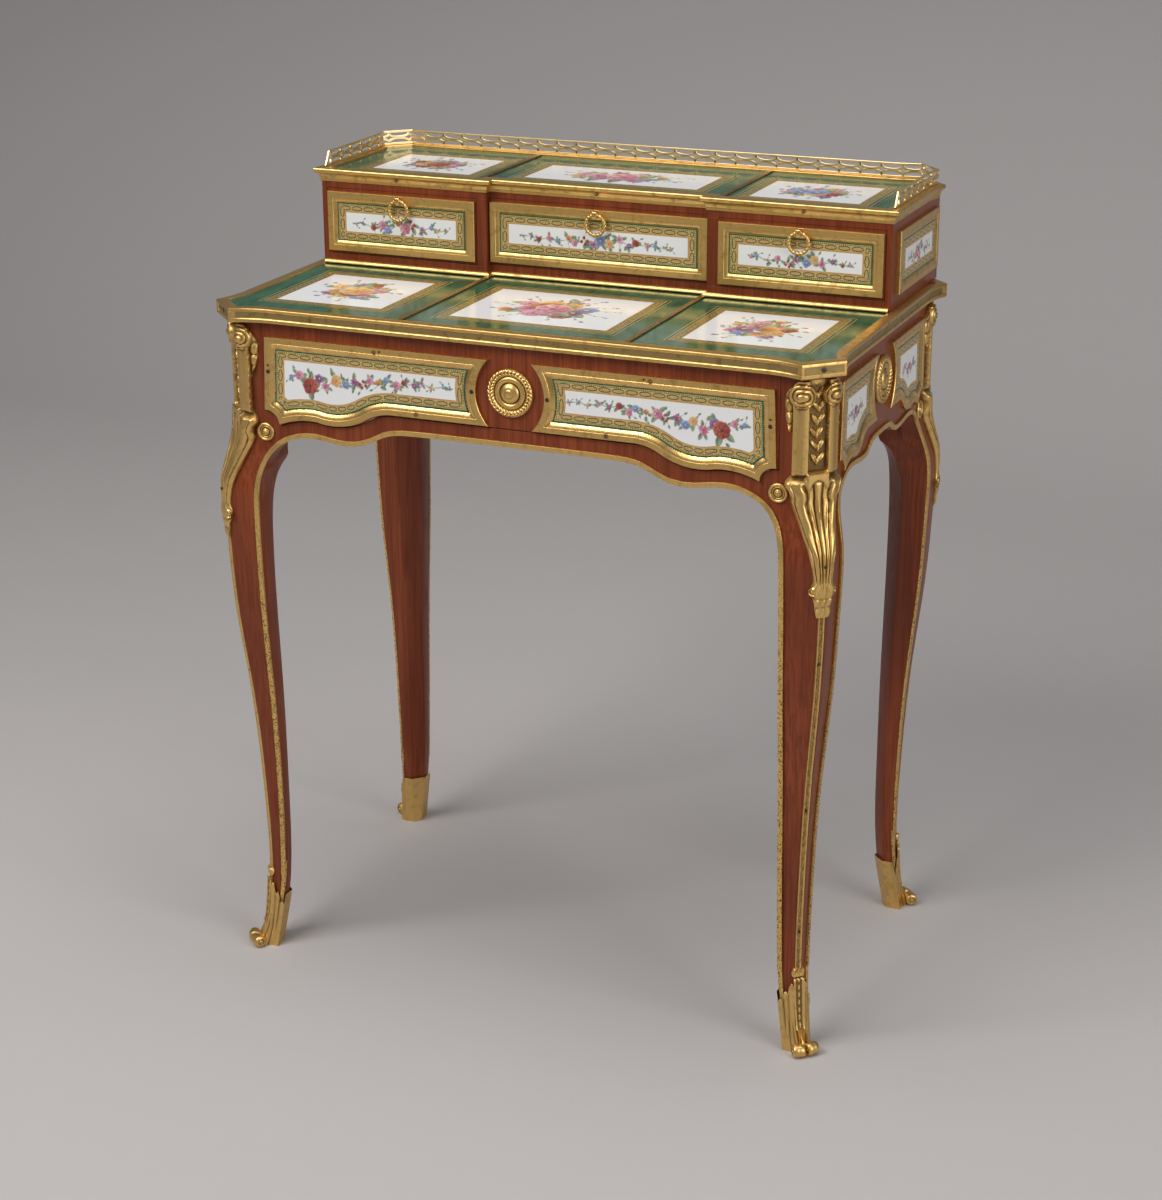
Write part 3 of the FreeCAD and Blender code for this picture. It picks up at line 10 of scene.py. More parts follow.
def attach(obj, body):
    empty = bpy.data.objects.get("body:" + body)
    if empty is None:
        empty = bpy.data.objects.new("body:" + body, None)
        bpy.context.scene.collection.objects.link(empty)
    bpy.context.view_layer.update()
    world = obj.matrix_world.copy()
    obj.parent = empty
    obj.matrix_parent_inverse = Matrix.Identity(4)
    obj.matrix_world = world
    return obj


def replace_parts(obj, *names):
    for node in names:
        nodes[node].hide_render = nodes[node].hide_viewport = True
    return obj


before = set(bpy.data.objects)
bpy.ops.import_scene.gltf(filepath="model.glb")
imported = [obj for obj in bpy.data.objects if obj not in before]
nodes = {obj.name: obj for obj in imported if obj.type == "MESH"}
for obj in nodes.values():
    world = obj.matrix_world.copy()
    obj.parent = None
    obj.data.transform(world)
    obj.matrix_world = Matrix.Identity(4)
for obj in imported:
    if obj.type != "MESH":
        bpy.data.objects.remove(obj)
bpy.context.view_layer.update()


# Carcass: legs, apron, panels, drawer front and the boards of the case. They are softwood and oak
# under a reddish tulipwood veneer with its grain upright, scraped, waxed and rubbed to a soft shine.

def new_material(name):
    """Node material, its tree and its shader."""
    material = bpy.data.materials.new(name)
    material.use_nodes = True
    return material, material.node_tree, material.node_tree.nodes["Principled BSDF"]


def add(tree, kind, inputs=None, **settings):
    """Node of a kind with its settings, and its inputs set or linked by name."""
    made = tree.nodes.new("ShaderNode" + kind)
    for key, value in settings.items():
        setattr(made, key, value)
    for key, value in (inputs or {}).items():
        put(tree, made.inputs[key], value)
    return made


def put(tree, socket, value):
    """Link a socket, or set its number or colour."""
    if isinstance(value, bpy.types.NodeSocket):
        tree.links.new(value, socket)
    elif isinstance(value, tuple) and socket.type == "RGBA":
        socket.default_value = (*value, 1.0)
    else:
        socket.default_value = value


def mix(tree, factor, first, second):
    """Colour between two colours."""
    made = add(tree, "Mix", data_type="RGBA")
    for place, value in ((0, factor), (6, first), (7, second)):
        put(tree, made.inputs[place], value)
    return made.outputs[2]


def calc(tree, operation, first, second=0.0, third=0.0):
    """Result of a sum on numbers."""
    made = add(tree, "Math", operation=operation)
    for place, value in enumerate((first, second, third)):
        put(tree, made.inputs[place], value)
    return made.outputs[0]


def ramp(tree, factor, low, high):
    """Number that goes smoothly from 0 at low to 1 at high."""
    made = add(tree, "MapRange", {"Value": factor, "From Min": low, "From Max": high},
               interpolation_type="SMOOTHSTEP")
    return made.outputs["Result"]


def noise(tree, scale, detail=3.0, roughness=0.55):
    """Soft noise over the piece, even or drawn out by its own scale in each direction."""
    scales = scale if isinstance(scale, tuple) else (scale, scale, scale)
    place = add(tree, "Mapping", {"Vector": add(tree, "TexCoord").outputs["Object"], "Scale": scales})
    made = add(tree, "TexNoise", {"Vector": place.outputs["Vector"], "Scale": 1.0, "Detail": detail,
                                  "Roughness": roughness})
    return made.outputs["Fac"]


def effect(name, inputs, outputs):
    """Node group with named sockets, and its input and output sockets."""
    group = bpy.data.node_groups.new(name, "ShaderNodeTree")
    for label, kind, value in inputs:
        socket = group.interface.new_socket(label, in_out="INPUT", socket_type="NodeSocket" + kind)
        socket.default_value = (*value, 1.0) if kind == "Color" else value
    for label, kind in outputs:
        group.interface.new_socket(label, in_out="OUTPUT", socket_type="NodeSocket" + kind)
    return group, group.nodes.new("NodeGroupInput").outputs, group.nodes.new("NodeGroupOutput").inputs


def place_effect(tree, group, **inputs):
    """Copy of an effect in a material, with its own values."""
    made = tree.nodes.new("ShaderNodeGroup")
    made.node_tree = group
    for key, value in inputs.items():
        put(tree, made.inputs[key], value)
    return made.outputs


def surface(tree, shader, colour, roughness, height=None, bump=(0.0, 0.0), others=()):
    """Join a shader's colour, roughness, bump of a strength and depth in metres, and other inputs."""
    for label, value in (("Base Color", colour), ("Roughness", roughness), *others):
        put(tree, shader.inputs[label], value)
    if height is not None:
        bumped = add(tree, "Bump", {"Height": height, "Strength": bump[0], "Distance": bump[1]})
        put(tree, shader.inputs["Normal"], bumped.outputs["Normal"])


BLANK = (0, 0, 0)


def make_grain():
    """Upright wood grain: broad stripes, fine lines and pores."""
    group, given, result = effect(
        "upright grain",
        [("Dark", "Color", BLANK), ("Middle", "Color", BLANK), ("Light", "Color", BLANK)],
        [("Color", "Color"), ("Roughness", "Float"), ("Height", "Float")])
    broad = noise(group, (62.0, 62.0, 3.2), 4.0, 0.6)
    lines = noise(group, (420.0, 420.0, 9.0), 3.0, 0.6)
    pores = noise(group, (1500.0, 1500.0, 46.0), 2.0, 0.5)
    cloud = noise(group, (7.0, 7.0, 5.0), 2.0)
    stripe = mix(group, ramp(group, broad, 0.34, 0.68), given["Middle"], given["Light"])
    line = mix(group, calc(group, "MULTIPLY", ramp(group, lines, 0.62, 0.36), 0.62), stripe, given["Dark"])
    worn = mix(group, calc(group, "MULTIPLY", ramp(group, pores, 0.60, 0.76), 0.6), line, given["Dark"])
    shade = mix(group, calc(group, "MULTIPLY", ramp(group, cloud, 0.62, 0.34), 0.3), worn, given["Dark"])
    put(group, result["Color"], shade)
    put(group, result["Roughness"], calc(group, "MULTIPLY_ADD", lines, 0.26, 0.20))
    put(group, result["Height"], calc(group, "SUBTRACT", lines, calc(group, "MULTIPLY", pores, 0.7)))
    return group


grain = make_grain()


def wood(name, tones, wax, bump):
    """Wood material with upright grain under more or less wax."""
    material, tree, shader = new_material(name)
    effects = place_effect(tree, grain, **tones)
    surface(tree, shader, effects["Color"], effects["Roughness"], effects["Height"], (bump, 0.0004),
            (("Specular IOR Level", 0.22), ("Coat Weight", wax), ("Coat Roughness", 0.2)))
    return material


def finish_node(name, material, bevel=0.0, segments=2):
    """Material on a CAD node, and a small rounding of its edges in millimetres."""
    obj = nodes[name]
    obj.data.materials.clear()
    obj.data.materials.append(material)
    if bevel:
        weld = obj.modifiers.new("weld", "WELD")
        weld.merge_threshold = 1e-5
        edge = obj.modifiers.new("edge", "BEVEL")
        edge.width = bevel / 1000
        edge.segments = segments
        edge.limit_method = "ANGLE"
        edge.angle_limit = math.radians(32)
        edge.harden_normals = True


VENEER_TONES = {"Dark": (0.103, 0.0187, 0.0058), "Middle": (0.202, 0.0418, 0.012),
                "Light": (0.257, 0.059, 0.0183)}
veneer = wood("tulipwood_veneer", VENEER_TONES, 0.10, 0.2)
CORNERS = ("front_right", "front_left", "back_right", "back_left")
for name in ["leg_" + corner for corner in CORNERS] + [
        "front_apron", "back_panel", "side_panel_right", "side_panel_left", "desk_top", "case_floor",
        "case_side_right", "case_side_left", "case_back", "case_partitions", "case_top",
        "frieze_drawer_front"]:
    finish_node(name, veneer, 0.5)


# Drawer boxes and runners: plain quarter-sawn oak, planed and left without polish, as the insides of
# such a desk are. The fronts of the three upper drawers belong to their boxes and are veneered.

OAK_TONES = {"Dark": (0.10, 0.052, 0.022), "Middle": (0.27, 0.155, 0.072), "Light": (0.38, 0.235, 0.12)}
oak = wood("plain_oak", OAK_TONES, 0.0, 0.5)
for name in ("drawer_runners", "frieze_drawer_box"):
    finish_node(name, oak, 0.4)


# Gilt bronze: every mount is cast, chased, fire-gilt, and burnished on its high edges while its
# hollows stay matt and darker with age. One effect serves all the mounts, and the bars between the flat
# plaques, which are left brown.

def make_gilding():
    """Gold that darkens in its hollows and rubs thin in places."""
    group, given, result = effect(
        "gilding",
        [("Gold", "Color", BLANK), ("Tarnish", "Color", BLANK), ("Matt", "Float", 0.4),
         ("Age", "Float", 0.5), ("Hollow", "Float", 0.0)],
        [("Color", "Color"), ("Roughness", "Float"), ("Height", "Float")])
    patches = noise(group, 120.0, 5.0, 0.62)
    specks = noise(group, 900.0, 2.0, 0.6)
    stipple = noise(group, 2600.0, 1.0, 0.5)
    dirt = calc(group, "MULTIPLY", ramp(group, patches, 0.48, 0.74), given["Age"])
    spots = calc(group, "MULTIPLY", ramp(group, specks, 0.66, 0.76), given["Age"])
    soiled = calc(group, "MAXIMUM", calc(group, "MAXIMUM", dirt, spots), given["Hollow"])
    put(group, result["Color"], mix(group, calc(group, "MINIMUM", soiled, 0.93),
                                    given["Gold"], given["Tarnish"]))
    worn = calc(group, "MULTIPLY_ADD", soiled, 0.22, given["Matt"])
    put(group, result["Roughness"], calc(group, "MULTIPLY_ADD", patches, 0.10, worn))
    put(group, result["Height"], calc(group, "MULTIPLY_ADD", stipple, 0.5, specks))
    return group


gilding = make_gilding()
GOLD = (0.86, 0.555, 0.185)
TARNISH = (0.30, 0.175, 0.055)


def bronze(name, matt, age, stipple, gold=GOLD, tarnish=TARNISH, hollows=False):
    """Gilt bronze, more or less burnished and aged; chased pieces carry how deep each point lies."""
    material, tree, shader = new_material(name)
    values = {"Gold": gold, "Tarnish": tarnish, "Matt": matt, "Age": age}
    if hollows:
        values["Hollow"] = add(tree, "Attribute", attribute_name="hollow").outputs["Fac"]
    effects = place_effect(tree, gilding, **values)
    surface(tree, shader, effects["Color"], effects["Roughness"], effects["Height"], (stipple, 0.0003),
            (("Metallic", 1.0), ("Coat Weight", 0.3), ("Coat Roughness", 0.22)))
    return material


burnished = bronze("burnished_gilt", 0.22, 0.45, 0.015)
matt_gilt = bronze("matt_gilt", 0.34, 0.65, 0.10, (0.74, 0.485, 0.16))
chased = bronze("chased_gilt", 0.32, 0.32, 0.16, (0.80, 0.52, 0.175), (0.165, 0.092, 0.031), hollows=True)
dark_bronze = bronze("dark_bronze", 0.38, 0.8, 0.2, (0.33, 0.20, 0.08), (0.10, 0.06, 0.03))

for name in ("desk_bars", "top_bars", "mount_screws", "frieze_screws"):
    finish_node(name, dark_bronze, 0.3)


# Desk rim: a heavy gilt moulding screwed round the edge of the top, with a sunk dark band between two
# rounded edges. Its corners are canted and stand out as ears, each with a small sunk panel.

def through(start, middle, end, count):
    """Points of the arc from start through middle, without its end."""
    (ax, ay), (mx, my), (bx, by) = start, middle, end
    squares = [x * x + y * y for x, y in (start, middle, end)]
    whole = 2 * (ax * (my - by) + mx * (by - ay) + bx * (ay - my))
    cx = (squares[0] * (my - by) + squares[1] * (by - ay) + squares[2] * (ay - my)) / whole
    cy = (squares[0] * (bx - mx) + squares[1] * (ax - bx) + squares[2] * (mx - ax)) / whole
    radius = math.hypot(ax - cx, ay - cy)
    first, halfway, last = (math.atan2(y - cy, x - cx) for x, y in (start, middle, end))
    sweep = (last - first) % math.tau
    if (halfway - first) % math.tau > sweep:
        sweep -= math.tau
    return [(cx + radius * math.cos(first + sweep * step / count),
             cy + radius * math.sin(first + sweep * step / count)) for step in range(count)]


def straight(start, end, count):
    """Points of a straight run, without its end."""
    return [(start[0] + (end[0] - start[0]) * step / count, start[1] + (end[1] - start[1]) * step / count)
            for step in range(count)]


CANT_SHARES = (0.0, 0.055, 0.07, 0.3, 0.5, 0.7, 0.93, 0.945)


def eared_corner(mid, ear, cant, run, reach):
    """Plan of a canted corner from the side to the back, moved out by reach."""
    shift = (math.sqrt(2) - 1) * reach
    side = (mid[0] + reach, ear[1] - cant - run)
    ear_side = (ear[0] + reach, ear[1] - cant + shift)
    ear_back = (ear[0] - cant + shift, ear[1] + reach)
    back = (ear[0] - cant - run, mid[1] + reach)
    bow_side = (side[0] + 0.28 * (ear_side[0] - side[0]), (side[1] + ear_side[1]) / 2)
    bow_back = ((back[0] + ear_back[0]) / 2, back[1] + 0.28 * (ear_back[1] - back[1]))
    cant_line = [(ear_side[0] + (ear_back[0] - ear_side[0]) * share,
                  ear_side[1] + (ear_back[1] - ear_side[1]) * share) for share in CANT_SHARES]
    return (through(side, bow_side, ear_side, 14) + cant_line
            + through(ear_back, bow_back, back, 14) + [back])


def mirrored(line):
    """Line that goes on in its mirror image on the other side."""
    return line + [(-x, y) for x, y in reversed(line)]


def rim_plan(reach):
    """Plan of the rim round all four corners."""
    back = mirrored(eared_corner((320.5, 193.0), (328.5, 203.0), 32.0, 38.0, reach))
    return back + [(-x, -y) for x, y in back]


def piece(name, points, faces, materials, body="desk", sharp=None, kinds=None):
    """Mesh piece from points in millimetres, with its materials, that moves with a body."""
    mesh = bpy.data.meshes.new(name)
    mesh.from_pydata((np.asarray(points, float) / 1000).tolist(), [], faces)
    mesh.polygons.foreach_set("use_smooth", [True] * len(mesh.polygons))
    for material in materials if isinstance(materials, (list, tuple)) else [materials]:
        mesh.materials.append(material)
    if kinds is not None:
        mesh.polygons.foreach_set("material_index", [int(kind) for kind in kinds])
    if sharp:
        mesh.set_sharp_from_angle(angle=math.radians(sharp))
    mesh.update()
    obj = bpy.data.objects.new(name, mesh)
    bpy.context.scene.collection.objects.link(obj)
    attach(obj, body)
    return obj


def swept(name, plan, profile, materials, kinds=None, closed=True, stops=(), band=()):
    """Moulding: a profile of reach and height carried round a plan; a sunk band is filled at its stops."""
    rings = [[(x, y, height) for x, y in plan(reach)] for reach, height in profile]
    count = len(rings[0])
    for row in band:
        flush = plan(0.0)
        for step in stops:
            rings[row][step] = (*flush[step], profile[row][1])
    points = [point for ring in rings for point in ring]
    faces, sorts = [], []
    for row in range(len(rings) - 1):
        for step in range(count if closed else count - 1):
            after = (step + 1) % count
            faces.append((row * count + step, (row + 1) * count + step, (row + 1) * count + after,
                          row * count + after))
            plain = kinds is None or step in stops or after in stops
            sorts.append(0 if plain else kinds[row])
    return piece(name, points, faces, materials, sharp=28, kinds=sorts)


RIM_PROFILE = [(-11.5, 705.6), (-11.5, 709.7), (-10.8, 710.4), (-1.5, 710.5), (-0.4, 710.1), (0.0, 709.3),
               (0.0, 707.5), (-0.5, 706.9), (-1.3, 706.6), (-1.3, 700.6), (-0.4, 700.2), (0.0, 699.6),
               (0.0, 697.2), (-0.7, 696.2), (-1.4, 696.0), (-9.0, 696.0), (-9.0, 705.6)]
rim_band = bronze("rim_band_gilt", 0.42, 0.75, 0.16, (0.40, 0.285, 0.115), (0.17, 0.11, 0.042))
rim_parts = [0] * 8 + [1] + [0] * 7
corner_stops = (13, 14, 15, 21, 22, 23)
half_round = len(rim_plan(0.0)) // 2
rim_stops = {place for step in corner_stops for place in (
    step, half_round - 1 - step, half_round + step, 2 * half_round - 1 - step)}
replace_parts(swept("desk_rim_moulding", rim_plan, RIM_PROFILE, [matt_gilt, rim_band], rim_parts,
                  stops=rim_stops, band=(8, 9)), "desk_rim")


# Cornice of the case: one gilt moulding of foot, cove and lip, mitred round the front where the middle
# bay stands back and round the canted corners behind.

CASE_SIDE, OUTER_FRONT, MIDDLE_FRONT, BAY_EDGE = 311.3, 24.3, 32.5, 121.0
CASE_CORNER = ((CASE_SIDE, 192.5), (315.3, 196.5), 25.0, 30.0)


def cornice_plan(reach):
    """Plan of the cornice, moved out from the case by reach."""
    back = mirrored(eared_corner(*CASE_CORNER, reach))
    side, front, middle, step = back[0][0], OUTER_FRONT - reach, MIDDLE_FRONT - reach, BAY_EDGE - reach
    return back + [(-side, front), (-step, front), (-step, middle), (step, middle), (step, front),
                   (side, front)]


cove = [(1.8 + 3.8 * (1 - math.cos(turn)), 800.4 + 5.6 * math.sin(turn))
        for turn in np.linspace(0, math.pi / 2, 7)]
CORNICE_PROFILE = ([(-8.0, 797.0), (0.8, 797.0), (1.2, 797.5), (1.2, 799.6), (1.7, 800.2)] + cove
                   + [(6.1, 806.4), (6.4, 807.0), (6.4, 809.6), (6.0, 810.3), (5.2, 810.5), (-7.6, 810.5),
                      (-8.0, 810.1), (-8.0, 804.6)])
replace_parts(swept("cornice_moulding", cornice_plan, CORNICE_PROFILE[::-1], [matt_gilt]), "cornice")


# Frames of the upright plaques: cast and gilt, flat and matt outside with a slope inside that holds the
# porcelain. The frieze and the sides have a shaped lower edge, a hollow inner end and a burnished slope.

OUTLINE_STEP = 1.6


def frieze_outline(end, flat):
    """Outline of a frieze frame, as across from the middle and height."""
    top, bottom, inner, hollow = 681.0, 615.0, 22.5, 36.0
    corner, cusp = (end + 3.0, 606.0), (end - 13.0, 592.0)
    span, lobe = cusp[0] - flat, cusp[1] + 7.0
    crest, bend = (flat + 0.664 * span, lobe), (flat + 0.234 * span, bottom - 8.0)
    scoop = (cusp[0] + 0.34 * (corner[0] - cusp[0]), corner[1] - 3.0)
    return (straight((inner, top), (end, top), int((end - inner) / OUTLINE_STEP))
            + straight((end, top), corner, 46)
            + through(corner, scoop, cusp, 16)
            + through(cusp, (flat + 0.844 * span, lobe - 1.0), crest, int(0.26 * span))
            + through(crest, (flat + 0.43 * span, lobe - 1.0), bend, int(0.34 * span))
            + through(bend, (flat + 0.133 * span, bottom - 2.2), (flat, bottom), int(0.2 * span))
            + straight((flat, bottom), (inner, bottom), int((flat - inner) / OUTLINE_STEP))
            + through((inner, bottom), (hollow, (top + bottom) / 2), (inner, top), 44))


def box_outline(low, high):
    """Outline of a plain rectangle from its low and high corners."""
    (left, bottom), (right, top) = low, high
    across, up = int((right - left) / OUTLINE_STEP), int((top - bottom) / OUTLINE_STEP)
    return (straight((left, top), (right, top), across) + straight((right, top), (right, bottom), up)
            + straight((right, bottom), (left, bottom), across) + straight((left, bottom), (left, top), up))


def from_edge(points, outline):
    """Distance of each point from a closed outline, and how far along it the nearest place lies."""
    start = np.asarray(outline, float)
    step = np.roll(start, -1, axis=0) - start
    length = np.hypot(*step.T)
    travelled = np.concatenate([[0.0], np.cumsum(length)[:-1]])
    away = points[:, None, :] - start[None]
    share = np.clip((away * step).sum(2) / (length ** 2), 0, 1)
    gap = np.hypot(*(away - share[..., None] * step).transpose(2, 0, 1))
    nearest = gap.argmin(1)
    rows = np.arange(len(points))
    return gap[rows, nearest], travelled[nearest] + share[rows, nearest] * length[nearest]


def moved_in(outline, depth):
    """Points of an outline moved in by depth, without those that run past a corner."""
    ring = np.asarray(outline, float)
    ahead = np.roll(ring, -1, axis=0) - ring
    ahead /= np.hypot(*ahead.T)[:, None]
    behind = np.roll(ahead, 1, axis=0)
    area = np.sum(ring[:, 0] * np.roll(ring[:, 1], -1) - np.roll(ring[:, 0], -1) * ring[:, 1])
    turn = np.array([[0, 1], [-1, 0]]) * (1 if area > 0 else -1)
    normals = ahead @ turn, behind @ turn
    mitre = (normals[0] + normals[1]) / (1 + (normals[0] * normals[1]).sum(1))[:, None]
    found = ring + mitre * depth
    return found[from_edge(found, outline)[0] > depth - 0.02]


def out_of(place):
    """Direction out of the face that a place function lays points on."""
    return np.subtract(place(0, 0, 1), place(0, 0, 0))


def turned_away(points, face, way):
    """Whether a face looks away from a direction."""
    first, second, third = (np.asarray(points[index], float) for index in face)
    return np.cross(second - first, third - first) @ way < 0


def frame_moulding(name, outline, place, profile, body, node):
    """Frame of a plaque: a profile of depth and height carried round inside an outline."""
    rings = [np.asarray(outline, float)] + [moved_in(outline, depth) for depth, _ in profile[1:]]
    count = len(outline)
    loop = [(step, (step + 1) % count) for step in range(count)]
    flat, _, triangles, sources, _, _ = delaunay_2d_cdt(
        [Vector(point) for ring in rings for point in ring], loop, [], 1, 1e-4)
    flat = np.array([tuple(point) for point in flat])
    depth = from_edge(flat, outline)[0]
    band = profile[-1][0]
    middles = np.array([flat[list(face)].mean(0) for face in triangles])
    inside = from_edge(middles, outline)[0]
    kept = [list(face) for face, gap in zip(triangles, inside) if gap < band]
    height = np.interp(depth, *zip(*profile))
    points = [place(u, v, h) for (u, v), h in zip(flat, height)]
    seat = {source: row for row, found in enumerate(sources) for source in found if source < count}
    base = len(points)
    points += [place(*outline[step], 0.0) for step in range(count)]
    kinds = [1 if gap > profile[3][0] else 0 for gap in inside if gap < band]
    walls = [(seat[first], seat[second], base + second, base + first) for first, second in loop]
    if turned_away(points, kept[0], out_of(place)):
        kept = [face[::-1] for face in kept]
    near, after, _, below = walls[0]
    from_centre = np.subtract(points[near], place(*np.mean(outline, axis=0), 0.0))
    if turned_away(points, (near, after, below), from_centre):
        walls = [wall[::-1] for wall in walls]
    used = sorted({index for face in kept + walls for index in face})
    fresh = {old: new for new, old in enumerate(used)}
    faces = [tuple(fresh[index] for index in face) for face in kept + walls]
    slope = burnished if profile is FRIEZE_PROFILE else matt_gilt
    obj = piece(name, [points[old] for old in used], faces, [matt_gilt, slope], body, sharp=24,
                kinds=kinds + [1] * len(walls))
    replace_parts(obj, node)


FRIEZE_PROFILE = [(0.0, 3.8), (0.5, 4.5), (5.7, 4.5), (6.1, 4.1), (6.6, 4.3), (8.2, 3.9), (9.8, 3.2),
                  (11.0, 2.5), (11.9, 2.1)]
SMALL_PROFILE = [(0.0, 3.3), (0.5, 4.0), (6.4, 4.0), (6.8, 3.6), (7.3, 3.7), (9.0, 3.4), (10.3, 2.8),
                 (11.2, 2.1)]
FRONT_FACE, SIDE_FACE = -184.0, 312.0
SIDES = (("right", 1), ("left", -1))
DRAWER_LOW, DRAWER_HIGH = 724.4, 787.1
FRONT_OUTLINE = frieze_outline(266.0, 125.0)
SIDE_OUTLINE = frieze_outline(138.0, 52.0)
UPRIGHTS = []
for word, way in SIDES:
    UPRIGHTS.append(("frieze_frame_" + word, "frieze_plaque_" + word, FRONT_OUTLINE, FRIEZE_PROFILE,
                     "frieze_drawer", lambda u, v, h, way=way: (way * u, FRONT_FACE - h, v)))
    for depth_word, depth in (("back", 1), ("front", -1)):
        UPRIGHTS.append(("side_frame_" + depth_word + "_" + word, "side_plaque_" + depth_word + "_" + word,
                         SIDE_OUTLINE, FRIEZE_PROFILE, "desk",
                         lambda u, v, h, way=way, depth=depth: (way * (SIDE_FACE + h), depth * u, v)))
    UPRIGHTS.append(("case_side_frame_" + word, "case_side_plaque_" + word,
                     box_outline((41.0, DRAWER_LOW), (180.0, DRAWER_HIGH)), SMALL_PROFILE, "desk",
                     lambda u, v, h, way=way: (way * (CASE_SIDE + h), u, v)))
for word, ends, face in (("left", (-303.6, -133.4), OUTER_FRONT), ("middle", (-119.6, 119.6), MIDDLE_FRONT),
                         ("right", (133.4, 303.6), OUTER_FRONT)):
    UPRIGHTS.append((word + "_drawer_frame", word + "_drawer_plaque",
                     box_outline((ends[0], DRAWER_LOW), (ends[1], DRAWER_HIGH)), SMALL_PROFILE,
                     word + "_drawer", lambda u, v, h, face=face: (u, face - h, v)))
for frame_name, _, outline, profile, body, place in UPRIGHTS:
    if "side_frame" in frame_name:
        node = "case_side_frames" if frame_name.startswith("case") else "side_frames"
    else:
        node = frame_name
    frame_moulding(frame_name + "_moulding", outline, place, profile, body, node)


# Knee mounts: a cast scroll bracket over each canted corner, with a husk drop in its recess and an acanthus
# leaf that runs down the knee. Four alike, chased all over and screwed through the leaf's stem.

def smooth_table(table):
    """Smooth curve through a table of heights and values, from the top down."""
    heights, values = (np.array(column, float)[::-1] for column in zip(*table))
    slopes = np.gradient(values, heights)

    def value_at(z):
        """Value at a height, held beyond the ends."""
        z = np.clip(z, heights[0], heights[-1])
        row = np.clip(np.searchsorted(heights, z) - 1, 0, len(heights) - 2)
        span = heights[row + 1] - heights[row]
        share = (z - heights[row]) / span
        rest = 1 - share
        return (values[row] * (1 + 2 * share) * rest ** 2 + values[row + 1] * (3 - 2 * share) * share ** 2
                + span * (slopes[row] * share * rest ** 2 - slopes[row + 1] * rest * share ** 2))

    return value_at


leg_swell = smooth_table([(700, 0), (600, 0), (572, 0), (549.7, 4.5), (530.2, 9), (505, 10.5), (466.8, 9.2),
                          (399.8, 6), (286, -3.9), (169.9, -9.8), (82.9, -10.9), (6, -4.5), (0, -3.6)])
leg_cant = smooth_table([(700, 10), (640, 10), (600, 10), (549.7, 8), (530.2, 7), (505, 5.5), (466.8, 4.5),
                         (399.8, 4), (286, 3.6), (169.9, 3.4), (82.9, 3.3), (0, 3.3)])


def rise(value, low, high):
    """Smooth step from 0 at low to 1 at high."""
    share = np.clip((value - low) / (high - low), 0.0, 1.0)
    return share * share * (3 - 2 * share)


def on_corner(z, along):
    """Place on the front right leg's outside at a height, along from the middle of its canted corner, and
    the direction out of it."""
    face, cant = leg_swell(z), leg_cant(z)
    half = cant * math.sqrt(2)
    across = np.minimum(np.abs(along), half) / math.sqrt(2)
    beyond = np.maximum(np.abs(along) - half, 0.0)
    front = along > 0
    x = SIDE_FACE + face - cant + np.where(front, -across - beyond, across)
    y = FRONT_FACE - face + cant + np.where(front, -across, across + beyond)
    turn = rise(np.abs(along), half - 3.5, half + 3.5)
    slant = (1 - turn) / math.sqrt(2)
    nx = np.where(front, slant, slant + turn)
    ny = -np.where(front, slant + turn, slant)
    length = np.hypot(nx, ny)
    return np.stack([x, y, z + 0 * along], -1), np.stack([nx / length, ny / length, 0 * along], -1)


def grid_faces(rows, columns, closed=False):
    """Quads of a grid of points, joined round where it is closed."""
    first = np.arange(rows * columns).reshape(rows, columns)
    if closed:
        first = np.concatenate([first, first[:, :1]], 1)
    return np.stack([first[:-1, :-1], first[1:, :-1], first[1:, 1:], first[:-1, 1:]], -1).reshape(-1, 4)


def hollows(height, reach=3, deep=1.1):
    """How deep each point of a relief lies below its surroundings, from 0 to 1."""
    padded = np.pad(height, reach, mode="edge")
    rows, columns = height.shape
    total = np.zeros_like(height)
    for up in (-reach, 0, reach):
        for side in (-reach, 0, reach):
            total += padded[reach + up:reach + up + rows, reach + side:reach + side + columns]
    return np.clip((total / 9 - height) / deep, 0.0, 0.9)


def store(obj, label, values):
    """Number at each point of a piece, for its material to read."""
    data = obj.data.attributes.new(label, "FLOAT", "POINT").data
    data.foreach_set("value", np.ravel(values).astype(np.float32))


def at_corners(name, points, faces, deep, material):
    """One mesh of four like pieces at the corners, from the points of the front right one."""
    points = points.reshape(-1, 3)
    copies, sides = [], []
    for x_way, y_way in ((1, 1), (-1, 1), (1, -1), (-1, -1)):
        moved = faces + len(points) * len(copies)
        sides.append(moved if x_way * y_way > 0 else moved[:, ::-1])
        copies.append(points * (x_way, y_way, 1))
    obj = piece(name, np.concatenate(copies), np.concatenate(sides).tolist(), material, sharp=50)
    store(obj, "hollow", np.tile(deep.ravel(), 4))
    return obj


knee_width = smooth_table([(692, 17), (688, 21), (682, 27), (674, 31), (664, 31), (652, 29), (643, 25.5),
                           (637, 22.8), (620, 22.8), (606, 22.8), (601, 24.0), (597, 28.0), (592, 27.6),
                           (586, 23.6), (581, 22.4), (576, 23.8), (570, 22.4), (560, 19.4), (548, 16.8),
                           (532, 13.4), (515, 10.6), (503, 9.8), (497, 12.5), (491, 11.5), (485, 8.5),
                           (478, 7.5), (467, 5.5)])
knee_crest = smooth_table([(692, 7), (606, 7), (600, 9), (592, 10), (580, 10.5), (565, 10.5), (550, 10),
                           (530, 8.6), (515, 7), (505, 5.5), (495, 5.5), (485, 4.2), (475, 3.2), (467, 2.5)])


